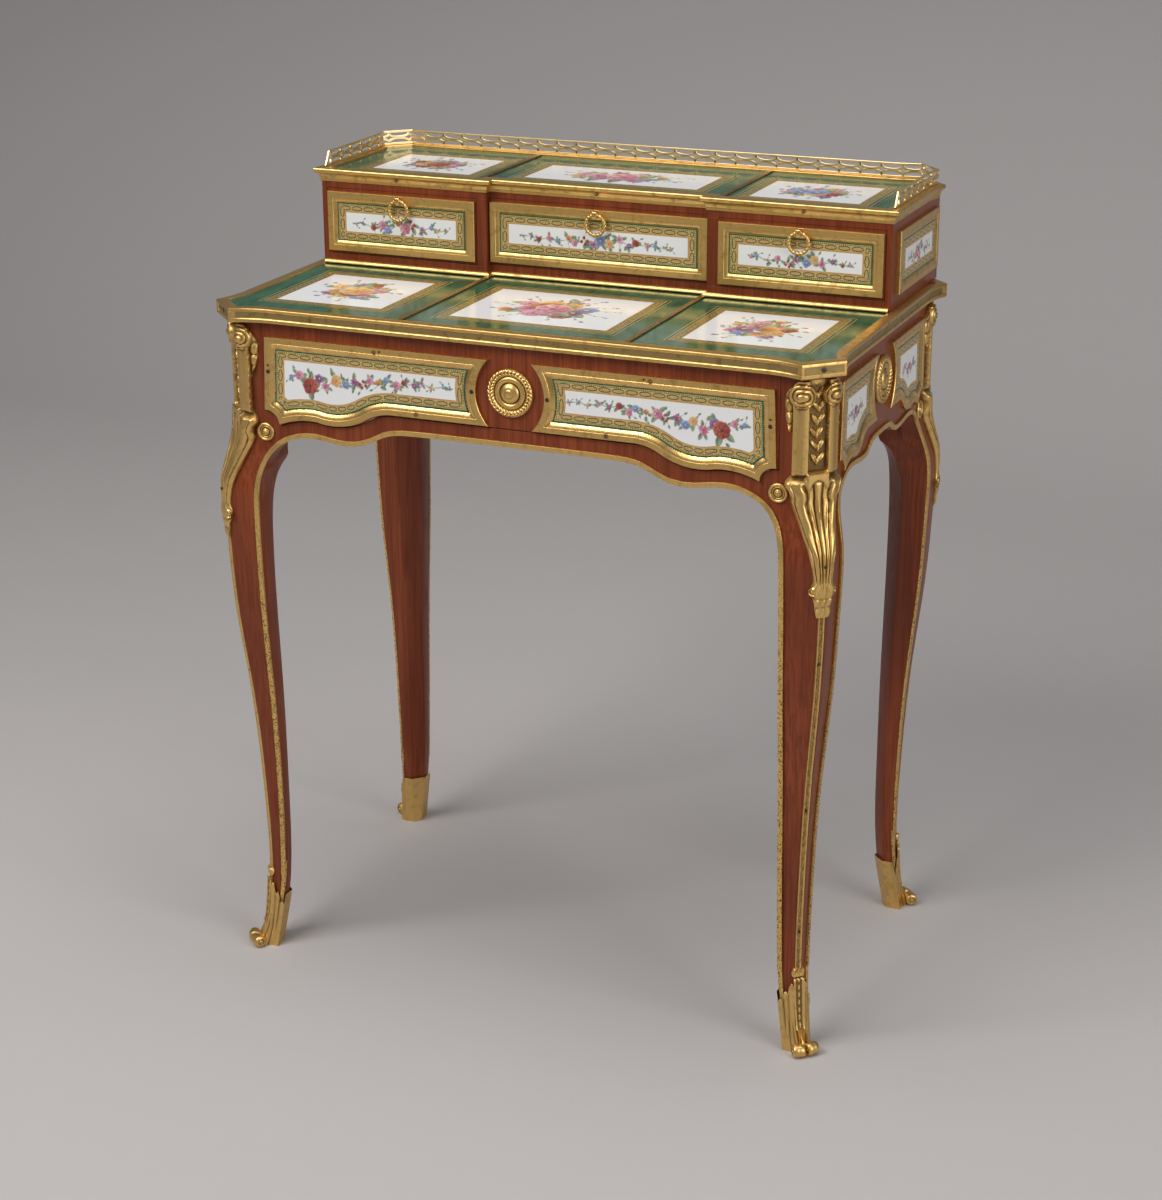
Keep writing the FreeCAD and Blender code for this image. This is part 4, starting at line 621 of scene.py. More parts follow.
def husk_drop(t, z):
    """Relief of the husks that hang in a knee mount's recess: two leaves and a bud, again and again."""
    unit, tilt = 12.5, 0.62
    low = np.mod(z - 611.0, unit)
    side, up = t - 3.3, low - 6.5
    long = (up * math.cos(tilt) + side * math.sin(tilt)) / 6.2
    wide = (side * math.cos(tilt) - up * math.sin(tilt)) / 2.5
    leaf = 3.2 * np.sqrt(np.clip(1 - long ** 2 - wide ** 2, 0, 1)) - 1.2 * np.exp(-(wide / 0.22) ** 2)
    bud = 3.6 * np.sqrt(np.clip(1 - (t / 1.7) ** 2 - ((low - 2.6) / 3.2) ** 2, 0, 1))
    return np.maximum(np.maximum(leaf, bud), 0.0) * rise(z, 608, 612) * rise(z, 688, 684)


def knee_relief(along, z):
    """Relief of a knee mount at places along its width and height."""
    t = np.abs(along)
    height = np.full(t.shape, 1.0)
    upper = rise(z, 598, 604)
    band = rise(t, 9.2, 10.4) * rise(t, 22.8, 21.4)
    height = np.maximum(height, upper * band * (6.2 - 1.1 * np.exp(-((t - 15.8) / 3.2) ** 2)))
    swing = np.abs(along + 1.1 * np.sin(z / 6.5))
    height = np.where(t < 9.2, np.maximum(height, 1.0 + husk_drop(swing, z)), height)
    aside = t - 26.2
    for low, across, tall in ((681.0, 5.6, 8.4), (667.5, 5.2, 7.4), (655.5, 4.6, 6.6), (645.5, 3.4, 5.4)):
        reach = np.hypot(aside / across, (z - low) / tall)
        flute = 1.0 - 0.22 * np.abs(np.sin(4.0 * np.arctan2(aside, z - low - tall)))
        height = np.maximum(height, 5.2 * np.sqrt(np.clip(1 - reach ** 2, 0, 1)) * flute)
    aside, above, edge = t - 15.2, z - 677.5, 11.8
    reach = np.hypot(aside, above)
    turn = np.arctan2(above, aside) / math.tau
    groove = np.exp(-((np.mod(reach / 4.3 - turn, 1.0) - 0.5) / 0.17) ** 2)
    volute = rise(reach, edge, 10.6) * (7.6 + 2.4 * (1 - reach / edge) - 1.9 * groove * rise(reach, 1.4, 2.4))
    height = np.maximum(height, volute)
    sill = rise(z, 588, 590) * rise(z, 606, 603) * rise(t, 12.5, 10.5)
    arch = rise(np.hypot(t / 8.5, (z - 587.0) / 10.5), 1.0, 0.85)
    height = np.maximum(height, 8.8 * sill - 5.5 * arch * sill)
    share = t / knee_width(z)
    crest = knee_crest(z)
    body = crest * np.sqrt(np.clip(1 - share ** 3.2, 0, 1))
    rib = 0.08 * np.cos(math.tau * (1.6 * share ** 0.85 + 0.10 * np.sin(z / 8.0)))
    fine = 0.12 * np.cos(math.tau * 5.0 * share - 0.2 * z) * rise(share, 0.12, 0.3)
    vein = -(2.8 * np.exp(-((share - 0.46) / 0.04) ** 2) + 2.2 * np.exp(-((share - 0.17) / 0.035) ** 2)
             + 1.2 * np.exp(-((share - 0.74) / 0.03) ** 2)) * rise(z, 498, 512) * rise(z, 598, 590)
    tip = 5.0 * rise(share, 0.55, 0.9) * rise(z, 572, 586)
    leaf = (body * (0.86 + rib) + fine + vein + tip) * rise(z, 602, 594)
    height = np.maximum(height, leaf)
    reach = np.hypot(t - 9.2, z - 494.5)
    curl = rise(reach, 4.6, 3.6) * (4.8 - 1.6 * np.exp(-((reach - 2.3) / 0.6) ** 2))
    height = np.maximum(height, curl)
    beads = np.abs(np.cos(0.5 * along)) * np.abs(np.sin((z - 467) * math.pi / 11.5))
    bud = rise(z, 490, 486) * (2.0 + 2.2 * beads)
    return np.where(z < 488, np.minimum(height, 5.0) * 0.55 + bud * 0.6, height)


def make_knee_mounts():
    """Relief of the mount laid over the canted corner, edge to edge."""
    rows = np.linspace(692.0, 467.0, 226)
    share = np.concatenate([[-1.0], np.linspace(-0.985, 0.985, 81), [1.0]])
    z = rows[:, None] + 0 * share
    lobes = 1.0 + 0.012 * np.sin(math.tau * rows / 9.5) * rise(rows, 500, 515) * rise(rows, 598, 588)
    along = share * (knee_width(rows) * lobes)[:, None]
    height = knee_relief(along, z)
    height[:, 0] = height[:, -1] = -0.4
    height[0] = height[-1] = -0.4
    base, out = on_corner(z, along)
    points = base + out * height[..., None]
    t = np.abs(along)
    recess = 0.92 * rise(t, 9.6, 8.6) * rise(z, 604, 607) * rise(z, 690, 686) * rise(height, 3.2, 1.8)
    deep = np.maximum(np.maximum(hollows(height, 2, 0.5), hollows(height, 7, 2.2)), recess)
    obj = at_corners("knee_mounts_chased", points, grid_faces(*z.shape), deep, chased)
    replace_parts(obj, "knee_mounts")


make_knee_mounts()


# Sabots: a cast shoe over each foot, with upright leaves round the leg, a band of husks up its corner and
# two scrolled toes. The shoe is open above, and its leaves end in lobes of different heights.

leg_draw = smooth_table([(169.9, 6), (82.9, 8), (6, 19), (0, 20)])
leg_core = smooth_table([(169.9, 12.6), (82.9, 14), (6, 23), (0, 23.7)])
LEG_INNER_X, LEG_INNER_Y = 270.5, 142.5
SHOE_WALL, TOE_REACH, TOE_TOP = 2.2, 13.5, 36.0
DIAGONAL = np.array([1.0, -1.0]) / math.sqrt(2)


def toe_reach(z):
    """How far the corner of a shoe is drawn out towards its toes at a height."""
    return TOE_REACH * np.clip(1 - z / TOE_TOP, 0, 1) ** 2


def shoe_section(z):
    """Corners of the front right leg's section at a height, from the middle of its canted corner towards
    the front and on round the inside."""
    out, cant = leg_swell(z) + SHOE_WALL, leg_cant(z) + 0.4
    inner, core = leg_draw(z) - SHOE_WALL, leg_core(z) - SHOE_WALL
    x, y = SIDE_FACE + out, FRONT_FACE - out
    near_x, near_y = LEG_INNER_X + inner, -LEG_INNER_Y - inner
    cut = 2 * (core - inner)
    half = [(x - cant, y + cant), (x - 2 * cant, y), (near_x, y), (near_x, near_y - cut)]
    other = [(near_x + cut, near_y), (x, near_y), (x, y + 2 * cant)]
    return half + other


def make_sabots():
    """Shoes with ribbed leaves on their outer faces, drawn out at the corner towards the toes."""
    counts = [5, 16, 8, 6, 8, 16, 5]
    rows = 70
    place = np.concatenate([np.arange(count) / count for count in counts])
    kind = np.repeat(np.arange(len(counts)), counts)
    face = np.where(kind == 1, place, np.where(kind == 5, 1 - place, np.nan))
    cant = np.where(kind == 0, place, np.where(kind == 6, 1 - place, np.nan))
    lobes = ((0.12, 73), (0.47, 63), (0.81, 54))
    lobe = np.maximum.reduce([tall - 260 * (face - at) ** 2 for at, tall in lobes])
    top = np.where(np.isnan(face), np.where(np.isnan(cant), 61.0, 73 - 3 * np.nan_to_num(cant)), lobe)
    share = np.linspace(0, 1, rows)
    z = share[:, None] * top[None, :]
    points = np.zeros((rows, len(place), 3))
    for row in range(rows):
        for column in range(len(place)):
            corners = shoe_section(z[row, column])
            first, second = corners[kind[column]], corners[(kind[column] + 1) % len(counts)]
            points[row, column, :2] = np.add(first, np.subtract(second, first) * place[column])
    points[..., 2] = z
    centre = np.array([293.0, -165.0])
    out = points[..., :2] - centre
    out /= np.hypot(out[..., 0], out[..., 1])[..., None]
    side = np.nan_to_num(face, nan=-1.0)[None, :] + 0 * z
    rib = np.where(side >= 0, 0.5 + 0.45 * np.cos(math.tau * 2.9 * (side - 0.12)) * rise(z, 8, 34), 0.0)
    rib += np.where(side >= 0, 0.2 * np.cos(math.tau * side * 12), 0.0) * rise(z, 10, 30)
    lip = 0.9 * rise(share, 0.86, 0.97)[:, None] * (side >= 0)
    height = (rib * rise(z, 2, 14) + lip) * rise(share, 1.0, 0.985)[:, None]
    corner = np.nan_to_num(1 - cant, nan=0.0)
    near_corner = np.maximum(corner, np.where(side >= 0, np.clip(1 - side / 0.5, 0, 1) * 0.8, 0.0))
    reach = toe_reach(z) * near_corner
    flute = 0.8 * np.cos(math.tau * 2.5 * near_corner) * rise(z, 40, 20) * (near_corner > 0)
    points[..., :2] += out * height[..., None]
    points[..., :2] += DIAGONAL * (reach + flute)[..., None]
    faces = grid_faces(rows, len(place), closed=True)[:, ::-1]
    at_foot = at_corners("sabots_chased", points, faces, hollows(height + flute, 2, 0.8), chased)
    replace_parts(at_foot, "sabots")


make_sabots()


def turned_points(profile, steps):
    """Points of a turned profile of radius and height round an upright axis."""
    turn = np.linspace(0, math.tau, steps, endpoint=False)
    radius, height = (np.array(column, float)[:, None] for column in zip(*profile))
    return np.stack([radius * np.cos(turn), radius * np.sin(turn), height + 0 * turn], -1)


def make_toes():
    """Two scrolled toes at the front of each sabot."""
    side = [(0.05, 0.9), (1.3, 0.9), (1.7, 0.3), (2.6, 0.2), (3.3, 0.9), (4.6, 0.9), (5.2, 0.4), (5.8, 0.2),
            (6.3, -0.4)]
    half = 5.6
    profile = [(r, half + h) for r, h in side] + [(6.7, 1.2), (6.4, 0.0), (6.7, -1.2)]
    profile += [(r, -half - h) for r, h in reversed(side)]
    steps = 40
    ring = turned_points(profile, steps)
    across = np.array([1.0, 1.0, 0.0]) / math.sqrt(2)
    ahead = np.array([1.0, -1.0, 0.0]) / math.sqrt(2)
    copies, sides = [], []
    faces = grid_faces(len(profile), steps, closed=True)
    for way in (1, -1):
        centre = np.array([SIDE_FACE - 7.8, FRONT_FACE + 7.8, 6.8]) + ahead * 11.6 + across * way * 7.1
        spread = ahead + across * way * 0.22
        spread /= np.linalg.norm(spread)
        axle = np.cross(spread, (0, 0, 1))
        sides.append(faces + len(copies) * ring.shape[0] * ring.shape[1])
        copies.append((centre + ring[..., :1] * spread + ring[..., 1:2] * np.array([0, 0, 1.0])
                       - ring[..., 2:] * axle).reshape(-1, 3))
    points = np.concatenate(copies)
    deep = np.tile(np.repeat([0.7 if 2.0 < r < 3.5 or r < 1.0 else 0.1 for r, _ in profile], steps), 2)
    at_corners("sabot_toes", points, np.concatenate(sides), deep, chased)


make_toes()


def make_corner_husks():
    """Band of husks up the corner of each sabot with a trefoil leaf over it."""
    rows = np.linspace(89.0, 24.0, 110)
    share = np.linspace(-1, 1, 41)
    z = rows[:, None] + 0 * share
    half = np.where(rows > 78, 5.6 * np.sqrt(np.clip(np.sin(math.pi * (rows - 77.5) / 13.0), 0.02, 1)) + 1.0,
                    4.6 - 0.6 * rise(rows, 60, 30))
    along = share * half[:, None]
    edge = rise(np.abs(share), 0.55, 0.72)[None, :] + 0 * z
    chain = np.abs(np.sin(math.pi * (z - 24) / 8.0)) * np.exp(-(along / 1.5) ** 2)
    trefoil = 2.6 + 1.3 * np.cos(math.tau * 1.5 * share)[None, :] * rise(z, 80, 86)
    height = np.where(z > 78, trefoil, 2.9 + 1.2 * edge + 0.9 * chain)
    height -= 2.2 * np.exp(-((z - 78.0) / 0.9) ** 2)
    height[:, 0] = height[:, -1] = 0.6
    height[0] = height[-1] = 0.2
    base, out = on_corner(z, along)
    deep = np.maximum(hollows(height), np.where((z < 77) & (edge < 0.3) & (chain < 0.55), 0.9, 0.0))
    points = base + out * height[..., None]
    points[..., :2] += DIAGONAL * toe_reach(z)[..., None]
    at_corners("sabot_husks", points, grid_faces(*z.shape), deep, chased)


make_corner_husks()


# Corner strips: a gilt bronze fillet let into each canted corner from the knee mount to the sabot. It is cast
# with two raised edges and a rough sunk middle, and small screws hold it.

def make_corner_strips():
    """Strips with pits cast into their middle."""
    rows = np.linspace(467.5, 82.5, 260)
    share = np.linspace(-1, 1, 17)
    z = rows[:, None] + 0 * share
    chance = np.random.default_rng(5)
    pits = chance.random(z.shape)
    edge = rise(np.abs(share), 0.42, 0.62)[None, :] + 0 * z
    height = 0.75 + 0.85 * edge - 0.45 * (1 - edge) * (pits > 0.6)
    height[:, 0] = height[:, -1] = -0.2
    base, out = on_corner(z, 3.5 * share[None, :] + 0 * z)
    deep = (1 - edge) * (0.45 + 0.5 * (pits > 0.6)) + edge * 0.8 * (pits > 0.965)
    points = base + out * height[..., None]
    obj = at_corners("corner_strips_chased", points, grid_faces(*z.shape), deep, chased)
    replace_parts(obj, "leg_corner_strips")


make_corner_strips()


# Edgings: gilt bronze fillets along the arches and down the inner edges of the legs, nailed on. Near the
# floor their gilding is rubbed and full of dark pits.

def axes(tree):
    """Place on the piece as its X, Y and Z in metres."""
    return add(tree, "SeparateXYZ", {"Vector": add(tree, "TexCoord").outputs["Object"]}).outputs


pitted, tree, shader = new_material("pitted_gilt")
pits = ramp(tree, noise(tree, 620.0, 2.0, 0.7), 0.53, 0.60)
worn = calc(tree, "MULTIPLY", pits, ramp(tree, axes(tree)["Z"], 0.66, 0.30))
effects = place_effect(tree, gilding, Gold=GOLD, Tarnish=(0.085, 0.05, 0.018), Matt=0.26, Age=0.35,
                       Hollow=worn)
surface(tree, shader, effects["Color"], effects["Roughness"], calc(tree, "SUBTRACT", 1.0, worn),
        (0.5, 0.0004), (("Metallic", 1.0),))
for name in ("edging_front", "edging_right", "edging_back", "edging_left"):
    finish_node(name, pitted, 1.8, 4)


def make_edging_tails():
    """Last lengths of the edgings, from the bent fillets down into the sabots."""
    across = np.array([0.0, 0.0, 0.5, 1.2, 3.8, 4.5, 5.0, 5.0])
    lift = np.array([-0.3, 0.55, 0.88, 1.0, 1.0, 0.88, 0.55, -0.3])
    rows = np.linspace(100.0, 46.0, 40)
    thick = 1.5 + 0.8 * rise(rows, 54, 62)
    x = LEG_INNER_X + leg_draw(rows)[:, None] + across
    y = FRONT_FACE - leg_swell(rows)[:, None] - thick[:, None] * lift
    z = rows[:, None] + 0 * across
    fold = SIDE_FACE + FRONT_FACE
    front = np.stack([x, y, z], -1).reshape(-1, 3)
    side = np.stack([fold - y, fold - x, z], -1).reshape(-1, 3)
    faces = grid_faces(*z.shape)
    at_corners("edging_tails", np.concatenate([front, side]),
               np.concatenate([faces[:, ::-1], faces + len(front)]), np.zeros(2 * z.size), pitted)


make_edging_tails()


# Rosettes and bosses: turned and chased bronze buttons, screwed on from behind. Each rosette has a laurel
# wreath round a broad ring and a domed button; the bosses are plain rings and a button.

def button(name, place, radius, relief, body, node=None, material=chased, steps=(64, 192)):
    """Round button with a relief of radius and turn, set on a face by its place function."""
    radii = np.concatenate([np.linspace(0.02, radius, steps[0]), [radius]])
    turn = np.linspace(0, math.tau, steps[1], endpoint=False)
    height = relief(radii[:, None], turn[None, :])
    height[-1] = -0.2
    u, v = radii[:, None] * np.cos(turn), radii[:, None] * np.sin(turn)
    points = np.array([place(*row) for row in zip(u.ravel(), v.ravel(), height.ravel())])
    faces = grid_faces(len(radii), len(turn), closed=True)
    if turned_away(points, faces[2 * len(turn)][:3], out_of(place)):
        faces = faces[:, ::-1]
    obj = piece(name, points, faces.tolist(), material, body, sharp=50)
    store(obj, "hollow", hollows(height, max(2, round(64.0 / radius)), 0.7))
    if node:
        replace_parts(obj, node)


def dome(radius, middle, half, tall):
    """Rounded ring about a radius."""
    return tall * np.sqrt(np.clip(1 - ((radius - middle) / half) ** 2, 0.0, 1.0))


def rosette_relief(radius, turn):
    """Laurel wreath, a broad ring and a domed button."""
    aside = np.abs(radius - 20.3)
    leaf = np.abs(np.sin(0.5 * (turn * 34 + 1.5 * aside)))
    wreath = dome(radius, 20.3, 3.7, 3.6) * (0.62 + 0.38 * leaf) - 1.0 * np.exp(-(aside / 0.45) ** 2)
    ring = dome(radius, 13.4, 3.1, 2.4)
    knob = dome(radius, 0.0, 10.2, 5.2) - 0.55 * np.exp(-((radius - 4.6) / 0.8) ** 2)
    return 1.6 + np.maximum(np.maximum(wreath, ring), knob) + 0 * turn


def boss_relief(radius, turn):
    """Ring round a domed button."""
    knob = dome(radius, 0.0, 3.9, 2.9) - 0.5 * np.exp(-((radius - 2.2) / 0.4) ** 2)
    return 0.8 + np.maximum(dome(radius, 8.0, 1.6, 1.9), knob) + dome(radius, 5.6, 0.8, 0.9) + 0 * turn


ROSETTE_LEVEL, ROSETTE_RADIUS, BOSS_LEVEL, BOSS_RADIUS = 650.0, 24.0, 582.5, 9.6
button("frieze_rosette_chased", lambda u, v, h: (u, FRONT_FACE - h, ROSETTE_LEVEL + v), ROSETTE_RADIUS,
       rosette_relief, "frieze_drawer", "frieze_rosette")
for word, way in SIDES:
    button("side_rosette_" + word, lambda u, v, h, way=way: (way * (SIDE_FACE + h), u, ROSETTE_LEVEL + v),
           ROSETTE_RADIUS, rosette_relief, "desk", "side_rosettes")
    button("front_boss_" + word,
           lambda u, v, h, way=way: (way * LEG_INNER_X + u, FRONT_FACE - h, BOSS_LEVEL + v),
           BOSS_RADIUS, boss_relief, "desk", "bosses")
    for depth_word, depth in (("front", -1), ("back", 1)):
        button("side_boss_" + depth_word + "_" + word,
               lambda u, v, h, way=way, depth=depth: (
                   way * (SIDE_FACE + h), depth * LEG_INNER_Y + u, BOSS_LEVEL + v),
               BOSS_RADIUS, boss_relief, "desk", "bosses")


# Screws: small blued heads with a slot that hold the rim's corners, the frames, the strips and the knee
# mounts. They are turned from iron and lie almost flush with the bronze.

screw_iron = bronze("blued_screw", 0.40, 0.5, 0.1, (0.075, 0.055, 0.040), (0.02, 0.015, 0.012))


def screw_relief(radius, turn):
    """Low domed head with a slot across it."""
    slot = rise(np.abs(radius * np.sin(turn - 0.7)), 0.55, 0.3)
    return 0.55 - 0.05 * radius ** 2 - 0.4 * slot


def screw_head(name, seat, out, radius, body="desk"):
    """Screw head at a seat that faces out."""
    out = np.asarray(out, float) / np.linalg.norm(out)
    side = np.cross((0.0, 0.0, 1.0), out)
    button(name, lambda u, v, h: tuple(np.asarray(seat) + u * side + h * out + v * np.array((0, 0, 1.0))),
           radius, screw_relief, body, material=screw_iron, steps=(9, 32))


for word, x_way, y_way in (("front_right", 1, -1), ("front_left", -1, -1), ("back_right", 1, 1),
                           ("back_left", -1, 1)):
    screw_head("rim_corner_screw_" + word, (x_way * 311.6, y_way * 186.1, 703.6), (x_way, y_way, 0), 2.5)
    for number, (z, lift) in enumerate(((519.0, 7.6), (420.0, 0.9), (262.0, 0.9), (128.0, 0.9))):
        base, out = on_corner(np.array(z), np.array(0.0))
        seat = (base + out * lift) * (x_way, -y_way, 1)
        screw_head("corner_screw_" + word + "_" + str(number), seat, (x_way, y_way, 0), 1.7)
for word, way in SIDES:
    for place_word, u, v, radius in (("outer", 262.8, 646.0, 2.1), ("inner", 39.6, 648.0, 2.1),
                                     ("outer_pin", 262.6, 652.5, 1.1), ("top_pin", 138.0, 677.8, 1.1)):
        screw_head("frame_screw_" + place_word + "_" + word, (way * u, FRONT_FACE - 4.5, v), (0, -1, 0),
                   radius, "frieze_drawer")


# Pull rings: a ring of wound laurel on each upper drawer, hanging loose in a square lug that is cast on the
# drawer's frame.

def make_pull(word, x, y, z):
    """Ring and lug of a drawer from the place of the ring's hinge."""
    steps, sides, middle = 150, 18, 10.3
    turn = np.linspace(0, math.tau, steps, endpoint=False)[:, None]
    around = np.linspace(0, math.tau, sides, endpoint=False)[None, :]
    wound = np.abs(np.sin(9 * turn + around))
    wire = 1.45 + 0.55 * wound
    reach = middle + wire * np.cos(around)
    ring = np.stack([x + reach * np.sin(turn), y + wire * np.sin(around) + 0 * turn,
                     z - middle + reach * np.cos(turn)], -1)
    after = grid_faces(2, sides, closed=True)
    seam = np.where(after >= sides, after - sides, after + (steps - 1) * sides)
    faces = np.concatenate([grid_faces(steps, sides, closed=True), seam])
    obj = piece(word + "_ring_laurel", ring.reshape(-1, 3), faces.tolist(), chased, word + "_ring")
    store(obj, "hollow", 0.85 * rise(wound, 0.45, 0.1))
    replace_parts(obj, word + "_pull_ring")
    side = np.linspace(0, math.tau, 32, endpoint=False)[None, :]
    tall = np.linspace(-math.pi / 2, math.pi / 2, 17)[:, None]

    def squared(value):
        """Sine or cosine of a round made almost square."""
        return np.sign(value) * np.abs(value) ** 0.28

    lug = np.stack([x + 3.0 * squared(np.cos(tall)) * squared(np.cos(side)),
                    y + 0.2 + 3.6 * squared(np.cos(tall)) * squared(np.sin(side)),
                    z + 0.2 + 3.4 * squared(np.sin(tall)) + 0 * side], -1)
    faces = grid_faces(tall.size, side.size, closed=True)[:, ::-1]
    block = piece(word + "_ring_lug", lug.reshape(-1, 3), faces.tolist(), burnished, word + "_drawer",
                  sharp=40)
    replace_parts(block, word + "_drawer_frame")


for word, x, y in (("left", -218.5, 16.6), ("middle", 0.0, 24.8), ("right", 218.5, 16.6)):
    make_pull(word, x, y, 782.9)


# Gallery: a low pierced fence round three sides of the case's top, cast in lengths and pinned to the
# cornice. Its two rails hold a row of hanging arcs over standing ones, and its front ends are slanted.

pale_gilt = bronze("pale_gilt", 0.30, 0.35, 0.02, (0.93, 0.72, 0.38), (0.42, 0.28, 0.11))


def gallery_line():
    """Plan of the gallery's middle from its right end round the back to its left, and the distances along."""
    front, inset = 31.0, 1.2
    back = mirrored(eared_corner(*CASE_CORNER, -inset))
    line = np.array([(back[0][0], front)] + back + [(back[-1][0], front)])
    return line, np.concatenate([[0.0], np.cumsum(np.hypot(*np.diff(line, axis=0).T))])


def on_line(line, gone, at):
    """Places at distances along a line, and the directions out of it."""
    row = np.clip(np.searchsorted(gone, at, side="right") - 1, 0, len(gone) - 2)
    ahead = line[row + 1] - line[row]
    length = np.hypot(ahead[..., 0], ahead[..., 1])[..., None]
    place = line[row] + ahead / length * (at - gone[row])[..., None]
    return place, np.stack([ahead[..., 1], -ahead[..., 0]], -1) / length


def flat_bar(line, gone, at, z, wide):
    """Points of a flat bar with bevelled edges through distances along a line and heights."""
    half, bevel, thick = wide / 2, 0.4, 1.0
    section = np.array([(half - bevel, thick), (half, thick - bevel), (half, bevel - thick),
                        (half - bevel, -thick), (bevel - half, -thick), (-half, bevel - thick),
                        (-half, thick - bevel), (bevel - half, thick)])
    step_at, step_z = np.gradient(at), np.gradient(z)
    length = np.hypot(step_at, step_z)
    place, out = on_line(line, gone, at[:, None] - (step_z / length)[:, None] * section[:, 0])
    height = z[:, None] + (step_at / length)[:, None] * section[:, 0]
    points = np.concatenate([place + out * section[:, 1:], height[..., None]], -1)
    return points.reshape(-1, 3), grid_faces(len(at), len(section), closed=True)


def make_gallery():
    """Two rails, the slanted ends and the arcs between them."""
    line, gone = gallery_line()
    low, high, rail, wide, lean = 810.5, 826.0, 2.5, 2.7, 9.0
    middle, whole = (low + high) / 2, gone[-1]
    bars = []
    for z, start in ((low + rail / 2, 0.3), (high - rail / 2, lean)):
        bends = gone[(gone > start) & (gone < whole - start)]
        stops = np.union1d(bends, np.linspace(start, whole - start, 90))
        bars.append(flat_bar(line, gone, stops, np.full(len(stops), z), rail))
    slant = np.linspace(0, 1, 5)
    for start, end in ((1.0, lean + 0.4), (whole - 1.0, whole - lean - 0.4)):
        z = low + 0.5 + (high - low - 1.2) * slant
        bars.append(flat_bar(line, gone, start + (end - start) * slant, z, 2.2))
    first = lean + 3.0
    count = round((whole - 2 * first) / 22.5)
    pitch = (whole - 2 * first) / count
    turn = np.linspace(0.0, math.pi, 17)
    for step in range(count):
        at = first + pitch * (step + 0.5) - pitch / 2 * np.cos(turn)
        for rail_z, dip in ((high - rail, -1), (low + rail, 1)):
            reach = abs(rail_z - middle) - wide / 2 + 0.7
            bars.append(flat_bar(line, gone, at, rail_z + dip * reach * np.sin(turn) ** 0.8, wide))
    bases = np.cumsum([0] + [len(part) for part, _ in bars[:-1]])
    points = np.concatenate([part for part, _ in bars])
    faces = np.concatenate([sides + base for (_, sides), base in zip(bars, bases)])
    obj = piece("gallery_pierced", points, faces.tolist(), pale_gilt, sharp=30)
    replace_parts(obj, "gallery")


make_gallery()


# Upright plaques: white soft-paste porcelain in the frames of the frieze, the drawers and the sides. Each
# has a painted border of green, beads and a chain on gold, and a garland of enamelled flowers.

PORCELAIN = np.array((0.735, 0.745, 0.745))
LIGHT_WAY = 2.2


def off(place, angle, across, up=None):
    """Place that lies off another in a direction, by one reach or by a reach across and one up."""
    return place[0] + across * math.cos(angle), place[1] + (across if up is None else up) * math.sin(angle)


